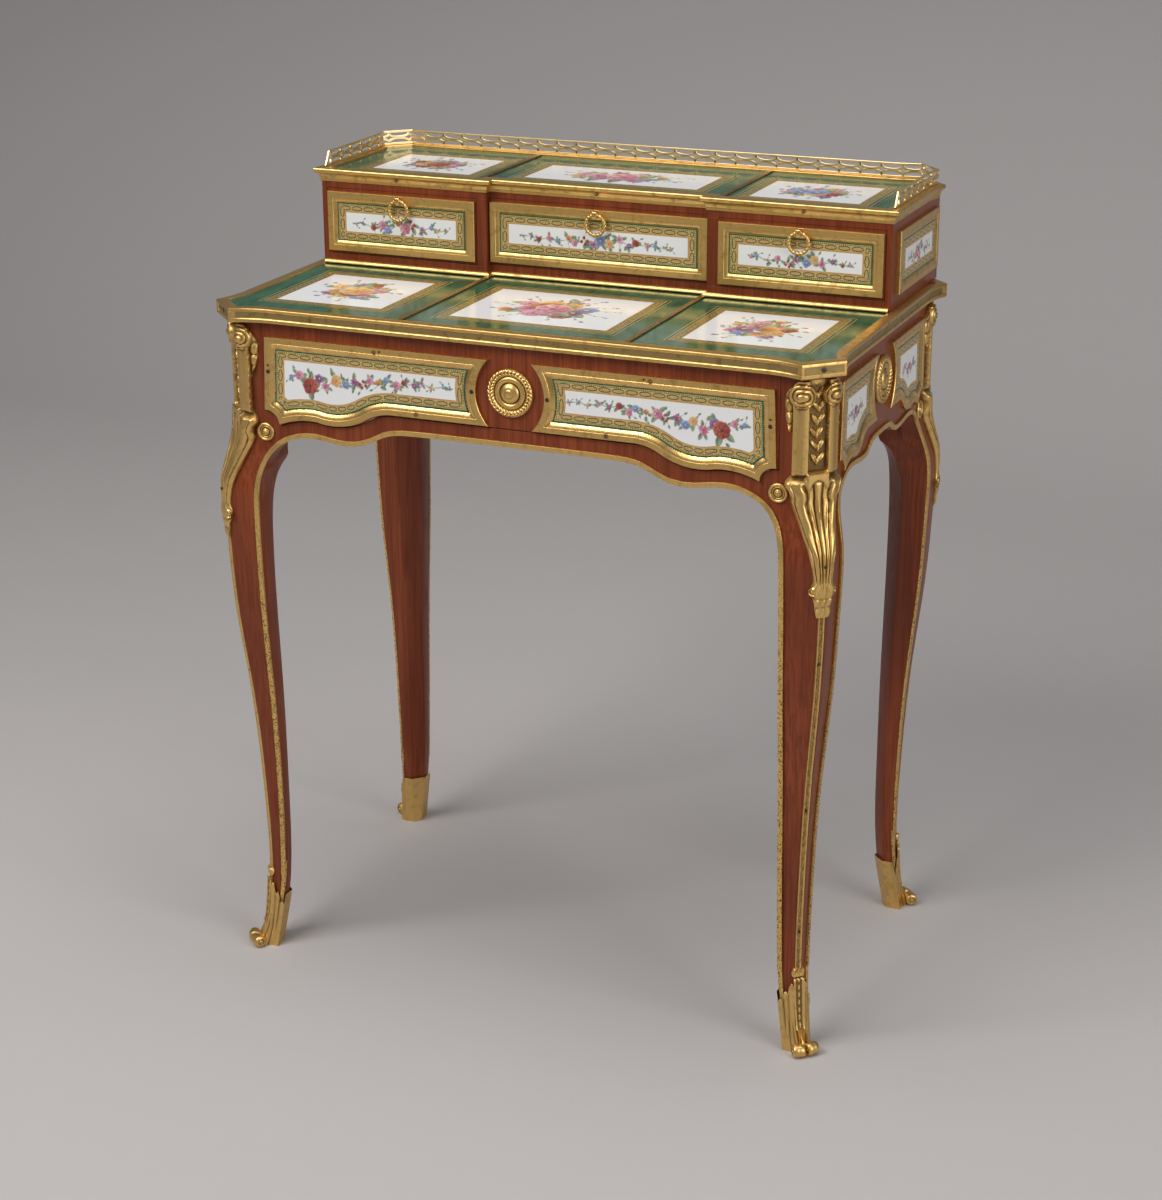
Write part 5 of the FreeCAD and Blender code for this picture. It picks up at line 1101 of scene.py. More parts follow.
class Painting:
    """Colours over a grid of places on a plaque, painted stroke by stroke."""

    def __init__(self, across, up, seed):
        """Blank porcelain over places across and up, and the seeded chance that varies the strokes."""
        self.across, self.up = across, up
        self.colour = np.tile(PORCELAIN, (len(up), len(across), 1))
        self.chance = np.random.default_rng(seed)

    def stroke(self, base, angle, length, width, near, far, fullness=0.8, soft=0.55):
        """One stroke shaped as a petal from its base outwards, from one colour to another."""
        left, right = np.searchsorted(self.across, [base[0] - length - 1, base[0] + length + 1])
        low, high = np.searchsorted(self.up, [base[1] - length - 1, base[1] + length + 1])
        if right <= left or high <= low:
            return
        u = self.across[left:right][None, :] - base[0]
        v = self.up[low:high][:, None] - base[1]
        out = (u * math.cos(angle) + v * math.sin(angle)) / length
        aside = np.abs(v * math.cos(angle) - u * math.sin(angle))
        share = np.clip(out, 0.0, 1.0)
        half = width / 2 * np.sin(np.pi * share ** fullness) ** 0.75
        cover = np.clip((half - aside) / soft + 0.5, 0.0, 1.0) * ((out > 0) & (out < 1))
        rim = np.clip(aside / np.maximum(half, 0.05), 0.0, 1.0)
        near, far = np.asarray(near), np.asarray(far)
        tone = near + (far - near) * share[..., None]
        tone = tone * (1.0 - 0.22 * rim[..., None] ** 3)
        window = self.colour[low:high, left:right]
        window += (tone - window) * cover[..., None]

    def leaf(self, base, angle, length):
        """Leaf in two greens with a pale vein."""
        deep = np.array((0.045, 0.13, 0.075)) * self.chance.uniform(0.8, 1.5)
        fresh = np.array((0.17, 0.30, 0.13)) * self.chance.uniform(0.8, 1.2)
        self.stroke(base, angle, length, 0.52 * length, deep, fresh)
        side = (base[0] - 0.07 * length * math.sin(angle), base[1] + 0.07 * length * math.cos(angle))
        self.stroke(side, angle, 0.9 * length, 0.26 * length, fresh, (0.36, 0.45, 0.24))
        self.stroke(base, angle, 0.85 * length, 0.5, deep, deep, 0.6)

    def stem(self, start, end, width=0.7):
        """Thin stem between two points."""
        length = math.dist(start, end)
        angle = math.atan2(end[1] - start[1], end[0] - start[0])
        self.stroke(start, angle, length, width, (0.10, 0.17, 0.07), (0.20, 0.28, 0.12), 0.6)

    def rose(self, centre, radius, light, deep):
        """Full rose: broad outer petals, then curled edges that close round a dark heart."""
        light, deep = np.asarray(light), np.asarray(deep)
        turn = self.chance.uniform(0, math.tau)

        def lit(angle):
            """Tone of a petal in the light from the upper left."""
            return deep + (light - deep) * (0.62 + 0.38 * math.cos(angle - LIGHT_WAY))

        for step in range(7):
            angle = turn + math.tau * step / 7 + self.chance.uniform(-0.15, 0.15)
            self.stroke(centre, angle, radius * self.chance.uniform(0.92, 1.08), 0.95 * radius,
                        0.6 * deep + 0.4 * light, lit(angle), 1.5)
        for reach, count in ((0.70, 6), (0.46, 5), (0.26, 4)):
            turn += 0.6
            for step in range(count):
                angle = turn + math.tau * step / count
                base = off(centre, angle, reach * radius)
                self.stroke(base, angle + 1.95, 1.15 * reach * radius + 0.5, 0.30 * radius, 0.9 * deep,
                            lit(angle) * 1.04, 0.9)
        self.spot(centre, 0.16 * radius, 0.6 * deep)

    def daisy(self, centre, radius, near, far, count):
        """Open flower of petals round a small heart."""
        turn = self.chance.uniform(0, math.tau)
        for step in range(count):
            angle = turn + math.tau * step / count
            lit = 0.95 + 0.25 * math.cos(angle - LIGHT_WAY)
            self.stroke(centre, angle, radius * self.chance.uniform(0.85, 1.08), 4.4 * radius / count,
                        np.asarray(near), np.asarray(far) * lit, 1.2)
        self.spot(centre, 0.2 * radius, (0.70, 0.42, 0.06))

    def pinks(self, centre, radius, near, far):
        """Ragged flower of many thin petals."""
        near, far = np.asarray(near), np.asarray(far)
        for step in range(17):
            angle = math.tau * step / 17 * 3.0 + self.chance.uniform(-0.2, 0.2)
            tone = self.chance.uniform(0.0, 1.0)
            self.stroke(centre, angle, radius * self.chance.uniform(0.55, 1.08), 0.36 * radius,
                        near, near + (far - near) * tone, 1.3)
        self.spot(centre, 0.14 * radius, 0.6 * near)

    def tulip(self, centre, radius, angle):
        """Half-open flower of striped pointed petals."""
        near, far, stripe = (0.42, 0.04, 0.015), (0.84, 0.46, 0.08), (0.55, 0.10, 0.02)
        for spread in (-0.85, 0.85, -0.5, 0.5, -0.15, 0.2):
            length = radius * (1.25 - 0.25 * abs(spread))
            self.stroke(centre, angle + spread, length, 0.46 * radius, near, far, 0.9)
            self.stroke(centre, angle + spread, radius * 0.9, 0.12 * radius, near, stripe, 0.8)

    def spot(self, centre, radius, colour):
        """Round spot, such as a berry or the heart of a flower."""
        colour = np.asarray(colour)
        self.stroke((centre[0] - radius, centre[1]), 0.0, 2 * radius, 2 * radius, colour, colour, 1.0)
        self.stroke((centre[0] - 0.7 * radius, centre[1] + 0.35 * radius), 0.0, 0.7 * radius, 0.5 * radius,
                    colour * 1.6 + 0.1, colour * 1.6 + 0.1, 1.0)

    def flower(self, kind, centre, radius, angle=1.2):
        """Flower of a kind at a place."""
        if kind in FLOWERS:
            shape, *tones = FLOWERS[kind]
            shape(self, centre, radius, *tones)
        elif kind == "tulip":
            self.tulip(centre, radius, angle)
        else:
            for step in range(4):
                self.spot(off(centre, 1.7 * step, 0.6 * radius), 0.36 * radius, (0.34, 0.016, 0.02))

    def spray(self, centre, end, kind, size):
        """Stem that leaves a bouquet with small leaves and a flower or bud at its end."""
        angle = math.atan2(end[1] - centre[1], end[0] - centre[0])
        bent = (0.45 * centre[0] + 0.55 * end[0] - 2.0 * math.sin(angle),
                0.45 * centre[1] + 0.55 * end[1] + 2.0 * math.cos(angle))
        self.stem(centre, bent, 0.8)
        self.stem(bent, end, 0.6)
        for share, side in ((0.25, 0.8), (0.5, -0.8), (0.8, 0.7)):
            base = (bent[0] + share * (end[0] - bent[0]), bent[1] + share * (end[1] - bent[1]))
            self.leaf(base, angle + side, 1.1 * size + 1.2)
        self.flower(kind, end, size, angle)


FLOWERS = {
    "pink rose": (Painting.rose, (0.84, 0.50, 0.56), (0.47, 0.05, 0.17)),
    "red rose": (Painting.rose, (0.60, 0.14, 0.06), (0.24, 0.010, 0.014)),
    "yellow rose": (Painting.rose, (0.86, 0.66, 0.24), (0.62, 0.22, 0.05)),
    "blue": (Painting.daisy, (0.05, 0.10, 0.36), (0.26, 0.42, 0.72), 5),
    "violet": (Painting.daisy, (0.10, 0.02, 0.13), (0.36, 0.16, 0.42), 6),
    "pink": (Painting.pinks, (0.48, 0.05, 0.18), (0.84, 0.52, 0.62)),
    "mauve": (Painting.pinks, (0.26, 0.04, 0.16), (0.66, 0.40, 0.56)),
}


def bouquet(painting, centre, radius, order):
    """Loose bouquet: sprays and leaves round a heap of flowers, the largest in the middle."""
    chance = painting.chance
    sprays, leaves, count = 13, 26, 13
    small = ("berries", "pink", "blue", "violet", "mauve")

    def about(angle, reach):
        """Place round the middle at a share of the bouquet's reach."""
        return off(centre, angle, reach * radius[0], reach * radius[1])

    for step in range(sprays):
        angle = math.tau * step / sprays + chance.uniform(-0.2, 0.2)
        end = about(angle, chance.uniform(0.74, 1.04))
        painting.spray(centre, end, small[step % len(small)], chance.uniform(2.0, 3.4))
    for step in range(leaves):
        angle = math.tau * step / leaves + chance.uniform(-0.2, 0.2)
        base = about(angle, chance.uniform(0.28, 0.56))
        painting.leaf(base, angle + chance.uniform(-0.6, 0.6), chance.uniform(6.0, 11.0))
    unit = 0.5 * (0.16 * radius[0] + 0.24 * radius[1])
    for step in reversed(range(count)):
        reach = 0.62 * math.sqrt(step / count)
        angle = 2.4 * step + chance.uniform(-0.15, 0.15)
        place = about(angle, reach)
        size = unit * (1.75 - 1.35 * reach) * chance.uniform(0.85, 1.15)
        painting.leaf(place, chance.uniform(0, math.tau), 1.7 * size)
        painting.flower(order[step % len(order)], place, size, angle)


def garland(painting, line, count, order):
    """Garland: overlapping flowers along a line of places and sizes, with leaves, stems and tendrils."""
    chance = painting.chance
    across, up, sizes = (np.array(column, float) for column in zip(*line))
    flowers = []
    for step in range(count):
        u = across[0] + (across[-1] - across[0]) * (step + chance.uniform(-0.25, 0.25)) / (count - 1)
        size = float(np.interp(u, across, sizes)) * chance.uniform(0.72, 1.2)
        v = float(np.interp(u, across, up)) + (1 if step % 2 else -1) * 0.62 * size * chance.uniform(0.3, 1.2)
        flowers.append((size, u, v, order[step % len(order)]))
    for start, end in zip(flowers, flowers[1:]):
        painting.stem(start[1:3], end[1:3], 0.8)
    for size, u, v, _ in flowers:
        way = chance.uniform(0.5, 1.5) * (1 if chance.random() < 0.5 else -1)
        end = off((u, v), way, 1.1 * size + 2.5)
        painting.stem((u, v), end, 0.6)
        painting.leaf(end, way + chance.uniform(-0.5, 0.5), 0.5 * size + 1.6)
        for _ in range(4):
            angle = chance.uniform(0, math.tau)
            painting.leaf(off((u, v), angle, 0.5 * size), angle, chance.uniform(0.7, 1.3) * size + 1.4)
    for size, u, v, kind in sorted(flowers):
        painting.flower(kind, (u, v), size, chance.uniform(0.6, 1.6))


CELL, CHUNK = 0.8, 3000


def inside_of(points, outline):
    """Which points lie inside a closed outline."""
    ring = np.asarray(outline, float)
    after = np.roll(ring, -1, axis=0)
    climb = np.where(after[:, 1] == ring[:, 1], 1.0, after[:, 1] - ring[:, 1])
    found = []
    for chunk in np.array_split(points, max(1, len(points) // CHUNK)):
        u, v = chunk[:, :1], chunk[:, 1:]
        crossed = (ring[:, 1] > v) != (after[:, 1] > v)
        at = ring[:, 0] + (v - ring[:, 1]) / climb * (after[:, 0] - ring[:, 0])
        found.append((crossed & (u < at)).sum(1) % 2 == 1)
    return np.concatenate(found)


measured = {}


def painted_face(name, outline, edge, place, lift, seed, paint, material, body):
    """Painted face of a plaque inside an outline, with each point's depth in the border and its colour."""
    ring = np.asarray(outline, float)
    low, high = ring.min(0) + edge, ring.max(0) - edge
    across, up = (np.linspace(start, end, math.ceil((end - start) / CELL) + 1)
                  for start, end in zip(low, high))
    painting = Painting(across, up, seed)
    paint(painting)
    flat = np.stack([grid.ravel() for grid in np.meshgrid(across, up)], 1)
    key = (len(outline), *low, *high)
    if key not in measured:
        parts = [from_edge(part, outline) for part in np.array_split(flat, max(1, len(flat) // CHUNK))]
        within = inside_of(flat, outline) if edge else np.full(len(flat), True)
        measured[key] = (*(np.concatenate(column) for column in zip(*parts)), within)
    depth, along, within = measured[key]
    held = within & (depth >= edge - CELL)
    wide = len(across)
    corner = np.arange(len(flat)).reshape(len(up), wide)[:-1, :-1].ravel()
    quads = np.stack([corner, corner + 1, corner + wide + 1, corner + wide], 1)
    quads = quads[held[quads].all(1)]
    used, fresh = np.unique(quads, return_inverse=True)
    quads = fresh.reshape(-1, 4)
    points = np.array([place(u, v, lift) for u, v in flat[used]])
    if turned_away(points, quads[0][:3], out_of(place)):
        quads = quads[:, ::-1]
    obj = piece(name, points, quads.tolist(), material, body)
    store(obj, "border", depth[used] - edge)
    store(obj, "along", along[used])
    shades = painting.colour.reshape(-1, 3)[used]
    grey = shades.mean(1, keepdims=True)
    shades = np.concatenate([grey + 0.8 * (shades - grey), np.ones((len(used), 1))], 1)
    obj.data.attributes.new("paint", "FLOAT_COLOR", "POINT").data.foreach_set(
        "color", shades.astype(np.float32).ravel())


def between(tree, value, low, high, soft=0.12):
    """Mask that is 1 between two values."""
    return calc(tree, "MULTIPLY", ramp(tree, value, low - soft, low + soft),
                ramp(tree, value, high + soft, high - soft))


def make_green_ground():
    """Green enamel ground, streaked by the brush."""
    group, _, result = effect("green ground", [], [("Color", "Color")])
    streak = noise(group, (160.0, 34.0, 160.0), 4.0, 0.6)
    cloud = noise(group, 26.0, 3.0)
    tone = mix(group, ramp(group, streak, 0.30, 0.70), (0.012, 0.060, 0.028), (0.036, 0.125, 0.060))
    put(group, result["Color"], mix(group, calc(group, "MULTIPLY", ramp(group, cloud, 0.5, 0.8), 0.5), tone,
                                    (0.075, 0.15, 0.075)))
    return group


def make_painted_gold():
    """Gold brushed on and fired, a little uneven."""
    group, given, result = effect("painted gold", [("Gold", "Color", BLANK)], [("Color", "Color")])
    uneven = noise(group, 700.0, 3.0, 0.6)
    darker = mix(group, 0.42, given["Gold"], (0.16, 0.10, 0.03))
    put(group, result["Color"], mix(group, ramp(group, uneven, 0.42, 0.66), given["Gold"], darker))
    return group


green_ground = make_green_ground()
painted_gold = make_painted_gold()
PAINT_GOLD = (0.62, 0.425, 0.15)
PAINT_ORANGE = (0.60, 0.36, 0.135)


def painted_places(tree):
    """Depth in the border, way along it and painted colour of each place on a face."""
    depth, along, field = (add(tree, "Attribute", attribute_name=name).outputs
                           for name in ("border", "along", "paint"))
    return depth["Fac"], along["Fac"], field["Color"]


def enamels(tree):
    """The border's green, gold and orange."""
    gold, orange = (place_effect(tree, painted_gold, Gold=tone)["Color"]
                    for tone in (PAINT_GOLD, PAINT_ORANGE))
    return place_effect(tree, green_ground)["Color"], gold, orange


def upright_paint():
    """Enamel of an upright plaque: green line that is also the frame's painted shadow, beads, chain, gilt
    line and the white field.
    """
    material, tree, shader = new_material("upright_plaque_enamel")
    depth, along, field = painted_places(tree)
    green, gold, orange = enamels(tree)
    bead, chain, line, end = (2.45, 2.1), (5.65, 13.7), 8.3, 10.2

    def oval(long, wide, middle, period, start=0.0):
        """Row of ovals along the border: below 1 inside each."""
        share = calc(tree, "FRACT", calc(tree, "DIVIDE", calc(tree, "ADD", along, start), period))
        s = calc(tree, "MULTIPLY", calc(tree, "SUBTRACT", share, 0.5), period / long)
        a = calc(tree, "DIVIDE", calc(tree, "SUBTRACT", depth, middle), wide)
        return calc(tree, "ADD", calc(tree, "MULTIPLY", s, s), calc(tree, "MULTIPLY", a, a))

    dots = ramp(tree, oval(0.62, 0.55, *bead), 1.25, 0.75)
    kernel = ramp(tree, oval(4.4, 1.15, *chain), 1.15, 0.85)
    link = calc(tree, "MULTIPLY", ramp(tree, oval(6.6, 2.5, *chain), 1.08, 0.92),
                ramp(tree, oval(5.2, 1.5, *chain), 0.92, 1.08))
    link = calc(tree, "MULTIPLY", link, ramp(tree, oval(5.9, 100.0, *chain), 1.15, 0.85))
    knot = ramp(tree, oval(0.9, 0.9, *chain, chain[1] / 2), 1.2, 0.8)
    # Painted shadow: the green line along the frame's edge is the border's own green line and also the
    # frame's shadow painted onto the plaque.
    dark = calc(tree, "MAXIMUM", between(tree, depth, -1.0, 1.35), dots)
    dark = calc(tree, "MAXIMUM", dark, calc(tree, "MULTIPLY", link, 0.95))
    warm = calc(tree, "MAXIMUM", calc(tree, "MAXIMUM", kernel, knot), between(tree, depth, line, end))
    colour = mix(tree, warm, gold, orange)
    colour = mix(tree, dark, colour, green)
    colour = mix(tree, ramp(tree, depth, 10.0, 10.25), colour, field)
    golden = calc(tree, "MULTIPLY", calc(tree, "SUBTRACT", 1.0, dark), ramp(tree, depth, end, 10.0))
    surface(tree, shader, colour, calc(tree, "MULTIPLY_ADD", golden, 0.20, 0.13),
            calc(tree, "MULTIPLY_ADD", golden, 0.10, noise(tree, 55.0, 2.0)), (0.12, 0.0006),
            (("Metallic", calc(tree, "MULTIPLY", golden, 0.25)),))
    return material


upright_enamel = upright_paint()


ORDER = ["mauve", "blue", "yellow rose", "pink", "violet", "red rose", "pink rose", "blue", "tulip",
         "pink rose", "berries"]


def front_garland(painting):
    """Garland of a frieze plaque, thin towards the middle of the desk and full near its outer end."""
    garland(painting, [(63, 648, 1.7), (92, 648, 3.0), (128, 647, 4.2), (165, 643, 5.4), (196, 640, 7.4),
                       (216, 641, 7.8), (236, 645, 3.4)], 19, ORDER)


def side_posy(painting):
    """Posy of a side plaque."""
    garland(painting, [(70, 644, 2.6), (90, 640, 5.6), (110, 642, 2.8)], 7, ORDER[2:])


def drawer_garland(middle, half, count):
    """Garland of an upper drawer's plaque, fullest in the middle."""
    def paint(painting):
        """Lay the garland on a painting."""
        line = [(middle + share * half, 754.0 + 1.6 * math.sin(4 * share), size)
                for share, size in ((-1, 1.6), (-0.6, 3.4), (-0.2, 5.4), (0.2, 5.6), (0.6, 3.6), (1, 1.7))]
        garland(painting, line, count, ORDER[3:] + ORDER[:3] if middle <= 0 else ORDER[6:] + ORDER[:6])
    return paint


UPRIGHT_LIFT, UPRIGHT_SEED = 2.56, 11
for number, (_, plaque, outline, profile, body, place) in enumerate(UPRIGHTS):
    if plaque.startswith("frieze"):
        paint = front_garland
    elif plaque.startswith("side"):
        paint = side_posy
    elif plaque.startswith("case"):
        paint = drawer_garland(110.0, 38.0, 9)
    else:
        middle = (min(outline)[0] + max(outline)[0]) / 2
        paint = drawer_garland(middle, *((82.0, 18) if "middle" in plaque else (52.0, 12)))
    painted_face(plaque + "_enamel", outline, profile[-1][0], place, UPRIGHT_LIFT, UPRIGHT_SEED + number,
                 paint, upright_enamel, body)
white_glaze, tree, shader = new_material("white_glaze")
surface(tree, shader, mix(tree, noise(tree, 40.0), tuple(PORCELAIN), (0.78, 0.785, 0.78)), 0.14)
for name in ("side_plaques", "case_side_plaques", "frieze_plaque_right", "frieze_plaque_left",
             "left_drawer_plaque", "middle_drawer_plaque", "right_drawer_plaque"):
    finish_node(name, white_glaze)


# Flat plaques of the desk top and the case's top: green ground porcelain, laid in the recess between
# bars. Each has gilt lines round a white reserve with a bouquet, under a thick, even glaze.

GLAZE_ROUGHNESS, GLAZE_SHINE, GLAZE_BUMP = 0.13, 0.28, (0.10, 0.0008)
LINES_WIDTH, FLAT_LIFT, FLAT_SEED = 14.4, 0.06, 40


def flat_paint():
    """Enamel round a flat plaque's reserve: gilt lines, an olive gilt band and the white field."""
    material, tree, shader = new_material("flat_plaque_enamel")
    depth, along, field = painted_places(tree)
    green, gold, orange = enamels(tree)
    olive = place_effect(tree, painted_gold, Gold=(0.235, 0.185, 0.065))["Color"]
    wave = calc(tree, "SINE", calc(tree, "MULTIPLY", along, math.tau / 9.0))
    scroll = calc(tree, "ABSOLUTE", calc(tree, "SUBTRACT", calc(tree, "SUBTRACT", depth, 9.2),
                                         calc(tree, "MULTIPLY", wave, 1.7)))
    figure = calc(tree, "MULTIPLY", ramp(tree, scroll, 0.9, 0.4), 0.55)
    band_start, band_end = 5.0, 13.4
    lines = calc(tree, "MAXIMUM", between(tree, depth, 0.0, 0.9), between(tree, depth, 4.1, band_start))
    band = between(tree, depth, band_start, band_end)
    colour = mix(tree, lines, green, gold)
    colour = mix(tree, band, colour, mix(tree, figure, olive, gold))
    colour = mix(tree, between(tree, depth, band_end, LINES_WIDTH), colour, orange)
    colour = mix(tree, ramp(tree, depth, LINES_WIDTH - 0.1, LINES_WIDTH + 0.1), colour, field)
    golden = calc(tree, "MAXIMUM", lines, calc(tree, "MULTIPLY", band, 0.7))
    surface(tree, shader, colour, calc(tree, "MULTIPLY_ADD", golden, 0.15, GLAZE_ROUGHNESS),
            noise(tree, 38.0, 2.0), GLAZE_BUMP,
            (("Metallic", calc(tree, "MULTIPLY", golden, 0.45)), ("Specular IOR Level", GLAZE_SHINE)))
    return material


flat_enamel = flat_paint()
DESK_LEVEL, TOP_LEVEL = 709.5, 808.5
FLAT_FIELDS = [
    ("desk_left", (-273.0, -145.0), (-157.5, -25.0), DESK_LEVEL, "yellow rose"),
    ("desk_middle", (-82.0, -145.0), (82.0, -20.0), DESK_LEVEL, "pink rose"),
    ("desk_right", (159.5, -145.0), (275.0, -25.0), DESK_LEVEL, "tulip"),
    ("top_left", (-265.0, 53.0), (-153.5, 141.0), TOP_LEVEL, "red rose"),
    ("top_middle", (-94.5, 63.0), (94.5, 137.0), TOP_LEVEL, "pink rose"),
    ("top_right", (155.0, 51.0), (268.0, 139.0), TOP_LEVEL, "blue"),
]
AROUND = ["blue", "red rose", "mauve", "tulip", "pink", "violet", "yellow rose", "pink rose"]


def flat_bouquet(low, high, first, shift):
    """Bouquet in the middle of a reserve, with its flowers in an order of its own."""
    def paint(painting):
        """Lay the bouquet on a painting."""
        centre = ((low[0] + high[0]) / 2, (low[1] + high[1]) / 2)
        radius = (0.43 * (high[0] - low[0]), 0.42 * (high[1] - low[1]))
        bouquet(painting, centre, radius, [first] + AROUND[shift:] + AROUND[:shift])
    return paint


for number, (word, low, high, level, first) in enumerate(FLAT_FIELDS):
    left, right = low[0] - LINES_WIDTH, high[0] + LINES_WIDTH
    near, far = low[1] - LINES_WIDTH, high[1] + LINES_WIDTH
    painted_face(word + "_enamel", [(left, far), (right, far), (right, near), (left, near)], 0.0,
                 lambda u, v, h: (u, v, h), level + FLAT_LIFT, FLAT_SEED + number,
                 flat_bouquet(low, high, first, number), flat_enamel, "desk")
green_glaze, tree, shader = new_material("green_glaze")
surface(tree, shader, place_effect(tree, green_ground)["Color"], GLAZE_ROUGHNESS, noise(tree, 38.0, 2.0),
        GLAZE_BUMP, (("Specular IOR Level", GLAZE_SHINE),))
for name in ("desk_plaque_right", "desk_plaque_left", "desk_plaque_middle", "top_plaques"):
    finish_node(name, green_glaze, 0.3)


# Foot moulding: a gilt quarter round along the foot of the case where it stands on the desk. It is drawn
# bronze, cut to length, mitred round the middle bay and pinned.

def foot_plan(reach):
    """Plan of the case's foot along its front, moved out by reach."""
    side, step = 309.5, BAY_EDGE - reach
    front, middle = OUTER_FRONT - reach, MIDDLE_FRONT - reach
    return [(side, front), (step, front), (step, middle), (-step, middle), (-step, front), (-side, front)]


quarter = [(0.3 + 3.2 * math.sin(turn), 710.6 + 3.9 * math.cos(turn))
           for turn in np.linspace(0, math.pi / 2, 9)]
foot_profile = [(0.0, 714.5)] + quarter + [(3.5, 709.5)]
swept("case_foot_moulding", foot_plan, foot_profile, [matt_gilt], closed=False)


# Upper drawers: oak boxes behind a front of the same veneer as the carcass. The front is the first ten
# millimetres of each box, and the oak behind it shows when the drawer is open.

def drawer_wood(name, front):
    """Veneer before a place along the drawer and oak behind it."""
    material, tree, shader = new_material(name)
    outside = place_effect(tree, grain, **VENEER_TONES)
    inside = place_effect(tree, grain, **OAK_TONES)
    behind = ramp(tree, axes(tree)["Y"], front - 0.0002, front)
    surface(tree, shader, mix(tree, behind, outside["Color"], inside["Color"]),
            calc(tree, "MULTIPLY_ADD", behind, 0.25, outside["Roughness"]), outside["Height"], (0.25, 0.0004),
            (("Specular IOR Level", 0.22),))
    return material


for word, front in (("left", 0.0340), ("middle", 0.0422), ("right", 0.0340)):
    finish_node(word + "_drawer_box", drawer_wood(word + "_drawer_wood", front), 0.4)


# Lining of the frieze drawer: a piece of plain green silk, laid loose on the drawer's floor with a stitched
# hem. Its weave shows close to, and it lies in faint waves.

def make_lining():
    """Sheet over the drawer's floor with a hem and faint waves."""
    half, near, far, level = 252.5, -168.0, 138.0, 622.45
    across, along = np.linspace(-half, half, 102), np.linspace(near, far, 63)
    u, v = np.meshgrid(across, along)
    edge = np.minimum(np.minimum(half - np.abs(u), v - near), far - v)
    wave = 0.22 * np.sin(0.031 * u + 0.9 * np.sin(0.02 * v)) + 0.16 * np.sin(0.045 * v + 0.02 * u)
    z = level + (0.4 + wave) * rise(edge, 0.0, 30.0) + 0.12 * rise(edge, 9.0, 7.5)
    obj = piece("drawer_silk", np.stack([u, v, z], -1).reshape(-1, 3), grid_faces(*z.shape)[:, ::-1].tolist(),
                silk, "frieze_drawer")
    store(obj, "edge", edge)
    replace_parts(obj, "drawer_lining")


silk, tree, shader = new_material("green_silk")
place = axes(tree)
THREAD, STITCH = 0.0007, 0.004
warp = calc(tree, "SINE", calc(tree, "MULTIPLY", place["X"], math.tau / THREAD))
weft = calc(tree, "SINE", calc(tree, "MULTIPLY", place["Y"], math.tau / THREAD))
weave = calc(tree, "MULTIPLY", warp, weft)
slub = noise(tree, (40.0, 900.0, 40.0), 2.0)
hem = calc(tree, "COMPARE", add(tree, "Attribute", attribute_name="edge").outputs["Fac"], 7.5, 0.5)
along_hem = calc(tree, "MULTIPLY", calc(tree, "ADD", place["X"], place["Y"]), math.tau / STITCH)
stitch = calc(tree, "MULTIPLY", hem, calc(tree, "GREATER_THAN", calc(tree, "SINE", along_hem), -0.2))
tone = mix(tree, calc(tree, "MULTIPLY_ADD", weave, 0.3, 0.5), (0.030, 0.075, 0.050), (0.075, 0.150, 0.105))
tone = mix(tree, ramp(tree, slub, 0.55, 0.75), tone, (0.09, 0.17, 0.12))
surface(tree, shader, mix(tree, stitch, tone, (0.16, 0.24, 0.18)), 0.48,
        calc(tree, "MULTIPLY_ADD", slub, 0.5, weave), (0.25, 0.0002), (("Sheen Weight", 0.4),))
make_lining()


# Studio: a pale grey sheet that runs from the floor up into a plain wall, with a large soft light above and
# to the left, a weaker one on the right and a grey room all round. The sheet's colour is painted shade: pale
# on the floor and darker up the wall, for the light's falloff.

def make_sweep():
    """Floor and wall in one sheet, joined by a wide curve behind the desk."""
    half, near, far, radius, tall, steps = 6.0, -5.0, 1.6, 1.4, 5.0, 24
    line = [(near, 0.0), (far, 0.0)]
    for step in range(1, steps + 1):
        turn = math.pi / 2 * step / steps
        line.append((far + radius * math.sin(turn), radius - radius * math.cos(turn)))
    line.append((far + radius, tall))
    points = [(side * half, y, z) for y, z in line for side in (-1, 1)]
    faces = [(2 * i, 2 * i + 1, 2 * i + 3, 2 * i + 2) for i in range(len(line) - 1)]
    mesh = bpy.data.meshes.new("studio_sweep")
    mesh.from_pydata(points, [], faces)
    mesh.polygons.foreach_set("use_smooth", [True] * len(faces))
    obj = bpy.data.objects.new("studio_sweep", mesh)
    bpy.context.scene.collection.objects.link(obj)
    material, tree, shader = new_material("pale_paper")
    # Painted shade: the sheet's grey goes from pale at the floor to darker up the wall, for the light's
    # falloff.
    tone = mix(tree, ramp(tree, axes(tree)["Z"], 0.0, 1.6), (0.47, 0.447, 0.442), (0.25, 0.251, 0.254))
    fibre = calc(tree, "MULTIPLY", noise(tree, 30.0, 4.0), 0.06)
    surface(tree, shader, mix(tree, fibre, tone, (0.3, 0.3, 0.3)), 0.85)
    mesh.materials.append(material)


make_sweep()


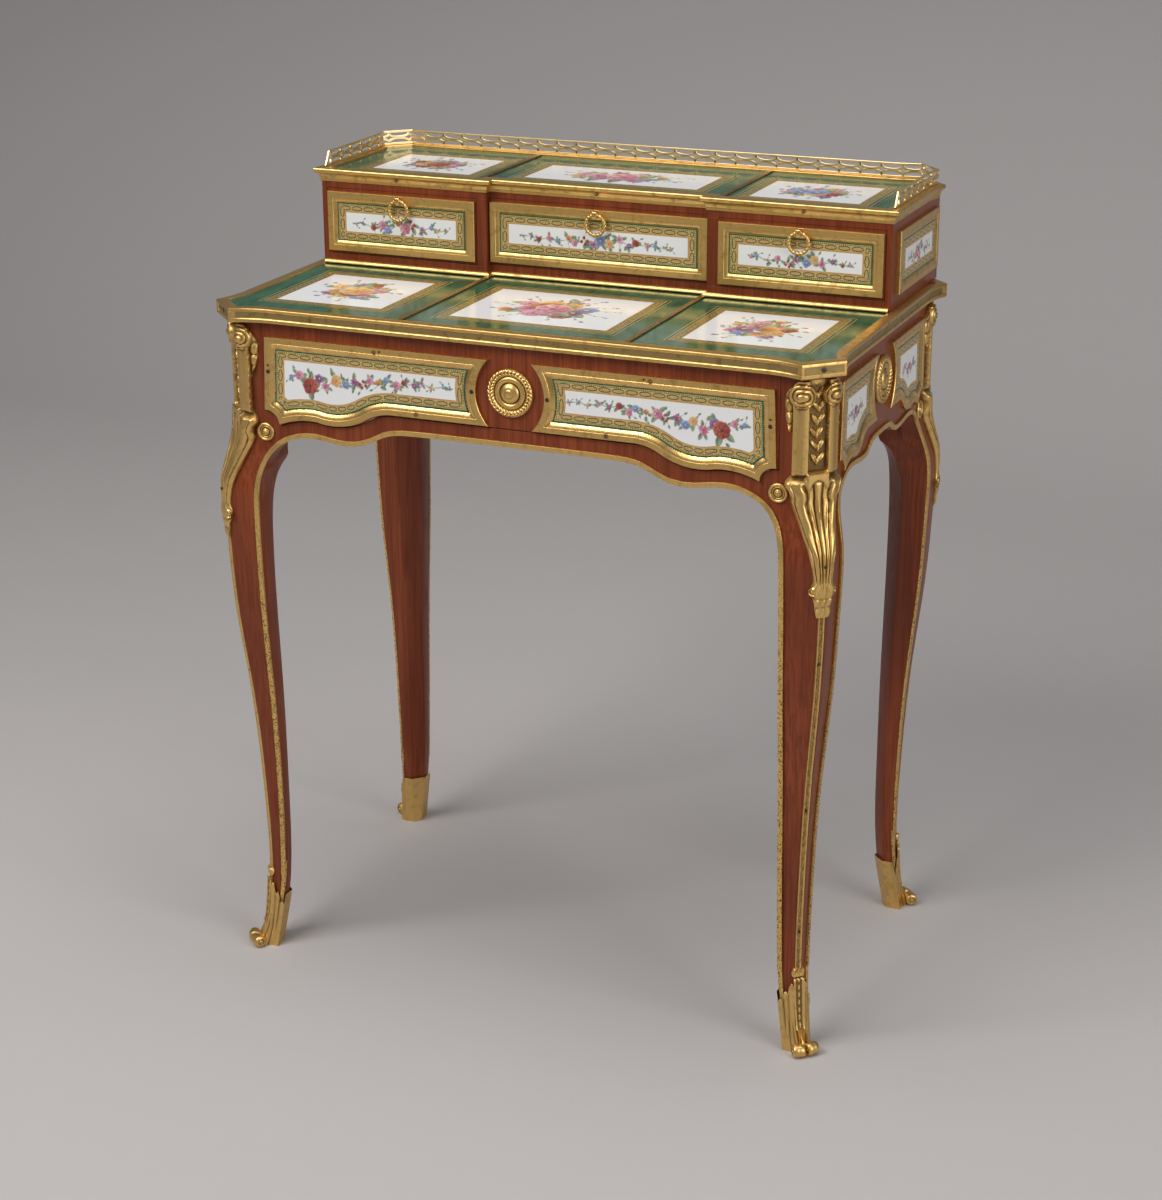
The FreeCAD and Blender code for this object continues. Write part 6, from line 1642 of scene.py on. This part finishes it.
def soft_light(name, place, target, size, power, colour):
    """Square soft light that looks at a target."""
    data = bpy.data.lights.new(name, "AREA")
    data.shape = "RECTANGLE"
    data.size, data.size_y = size
    data.energy = power
    data.color = colour
    obj = bpy.data.objects.new(name, data)
    obj.location = place
    obj.rotation_euler = (Vector(target) - Vector(place)).to_track_quat("-Z", "Y").to_euler()
    bpy.context.scene.collection.objects.link(obj)


middle = (0, 0, 0.5)
soft_light("key", (-1.25, -2.2, 2.8), middle, (2.2, 1.5), 80, (1.0, 0.98, 0.95))
soft_light("top", (0.1, -0.2, 3.4), middle, (2.2, 1.6), 38, (1.0, 1.0, 1.0))
soft_light("fill", (2.8, -1.2, 1.6), middle, (1.6, 2.2), 38, (1.0, 0.99, 0.97))

world = bpy.data.worlds.new("studio")
world.use_nodes = True
room = world.node_tree.nodes["Background"].inputs
room["Color"].default_value = (0.40, 0.40, 0.41, 1.0)
room["Strength"].default_value = 0.45
bpy.context.scene.world = world


# Camera at the photograph's viewing angle: from the front, to the right and above, with a slight tilt.
# Its focal length is the fitted one, in pixels of a picture 1200 high.

def make_camera():
    """Camera that looks at the fitted middle of the desk."""
    azimuth, elevation, roll = math.radians(23.04), math.radians(19.86), math.radians(-0.22)
    distance, focal_pixels, image_height, sensor = 2.6377, 2510.2, 1200, 36.0
    target = Vector((-0.00146, -0.01164, 0.38194))
    back = Vector((math.sin(azimuth) * math.cos(elevation), -math.cos(azimuth) * math.cos(elevation),
                   math.sin(elevation)))
    right = (-back).cross(Vector((0, 0, 1))).normalized()
    up = right.cross(-back)
    across = right * math.cos(roll) + up * math.sin(roll)
    upward = up * math.cos(roll) - right * math.sin(roll)
    data = bpy.data.cameras.new("camera")
    data.sensor_width = sensor
    data.lens = sensor * focal_pixels / image_height
    camera = bpy.data.objects.new("camera", data)
    camera.matrix_world = Matrix.Translation(target + back * distance) @ Matrix(
        (across, upward, back)).transposed().to_4x4()
    bpy.context.scene.collection.objects.link(camera)
    bpy.context.scene.camera = camera


make_camera()
bpy.context.scene.view_settings.view_transform = "Standard"
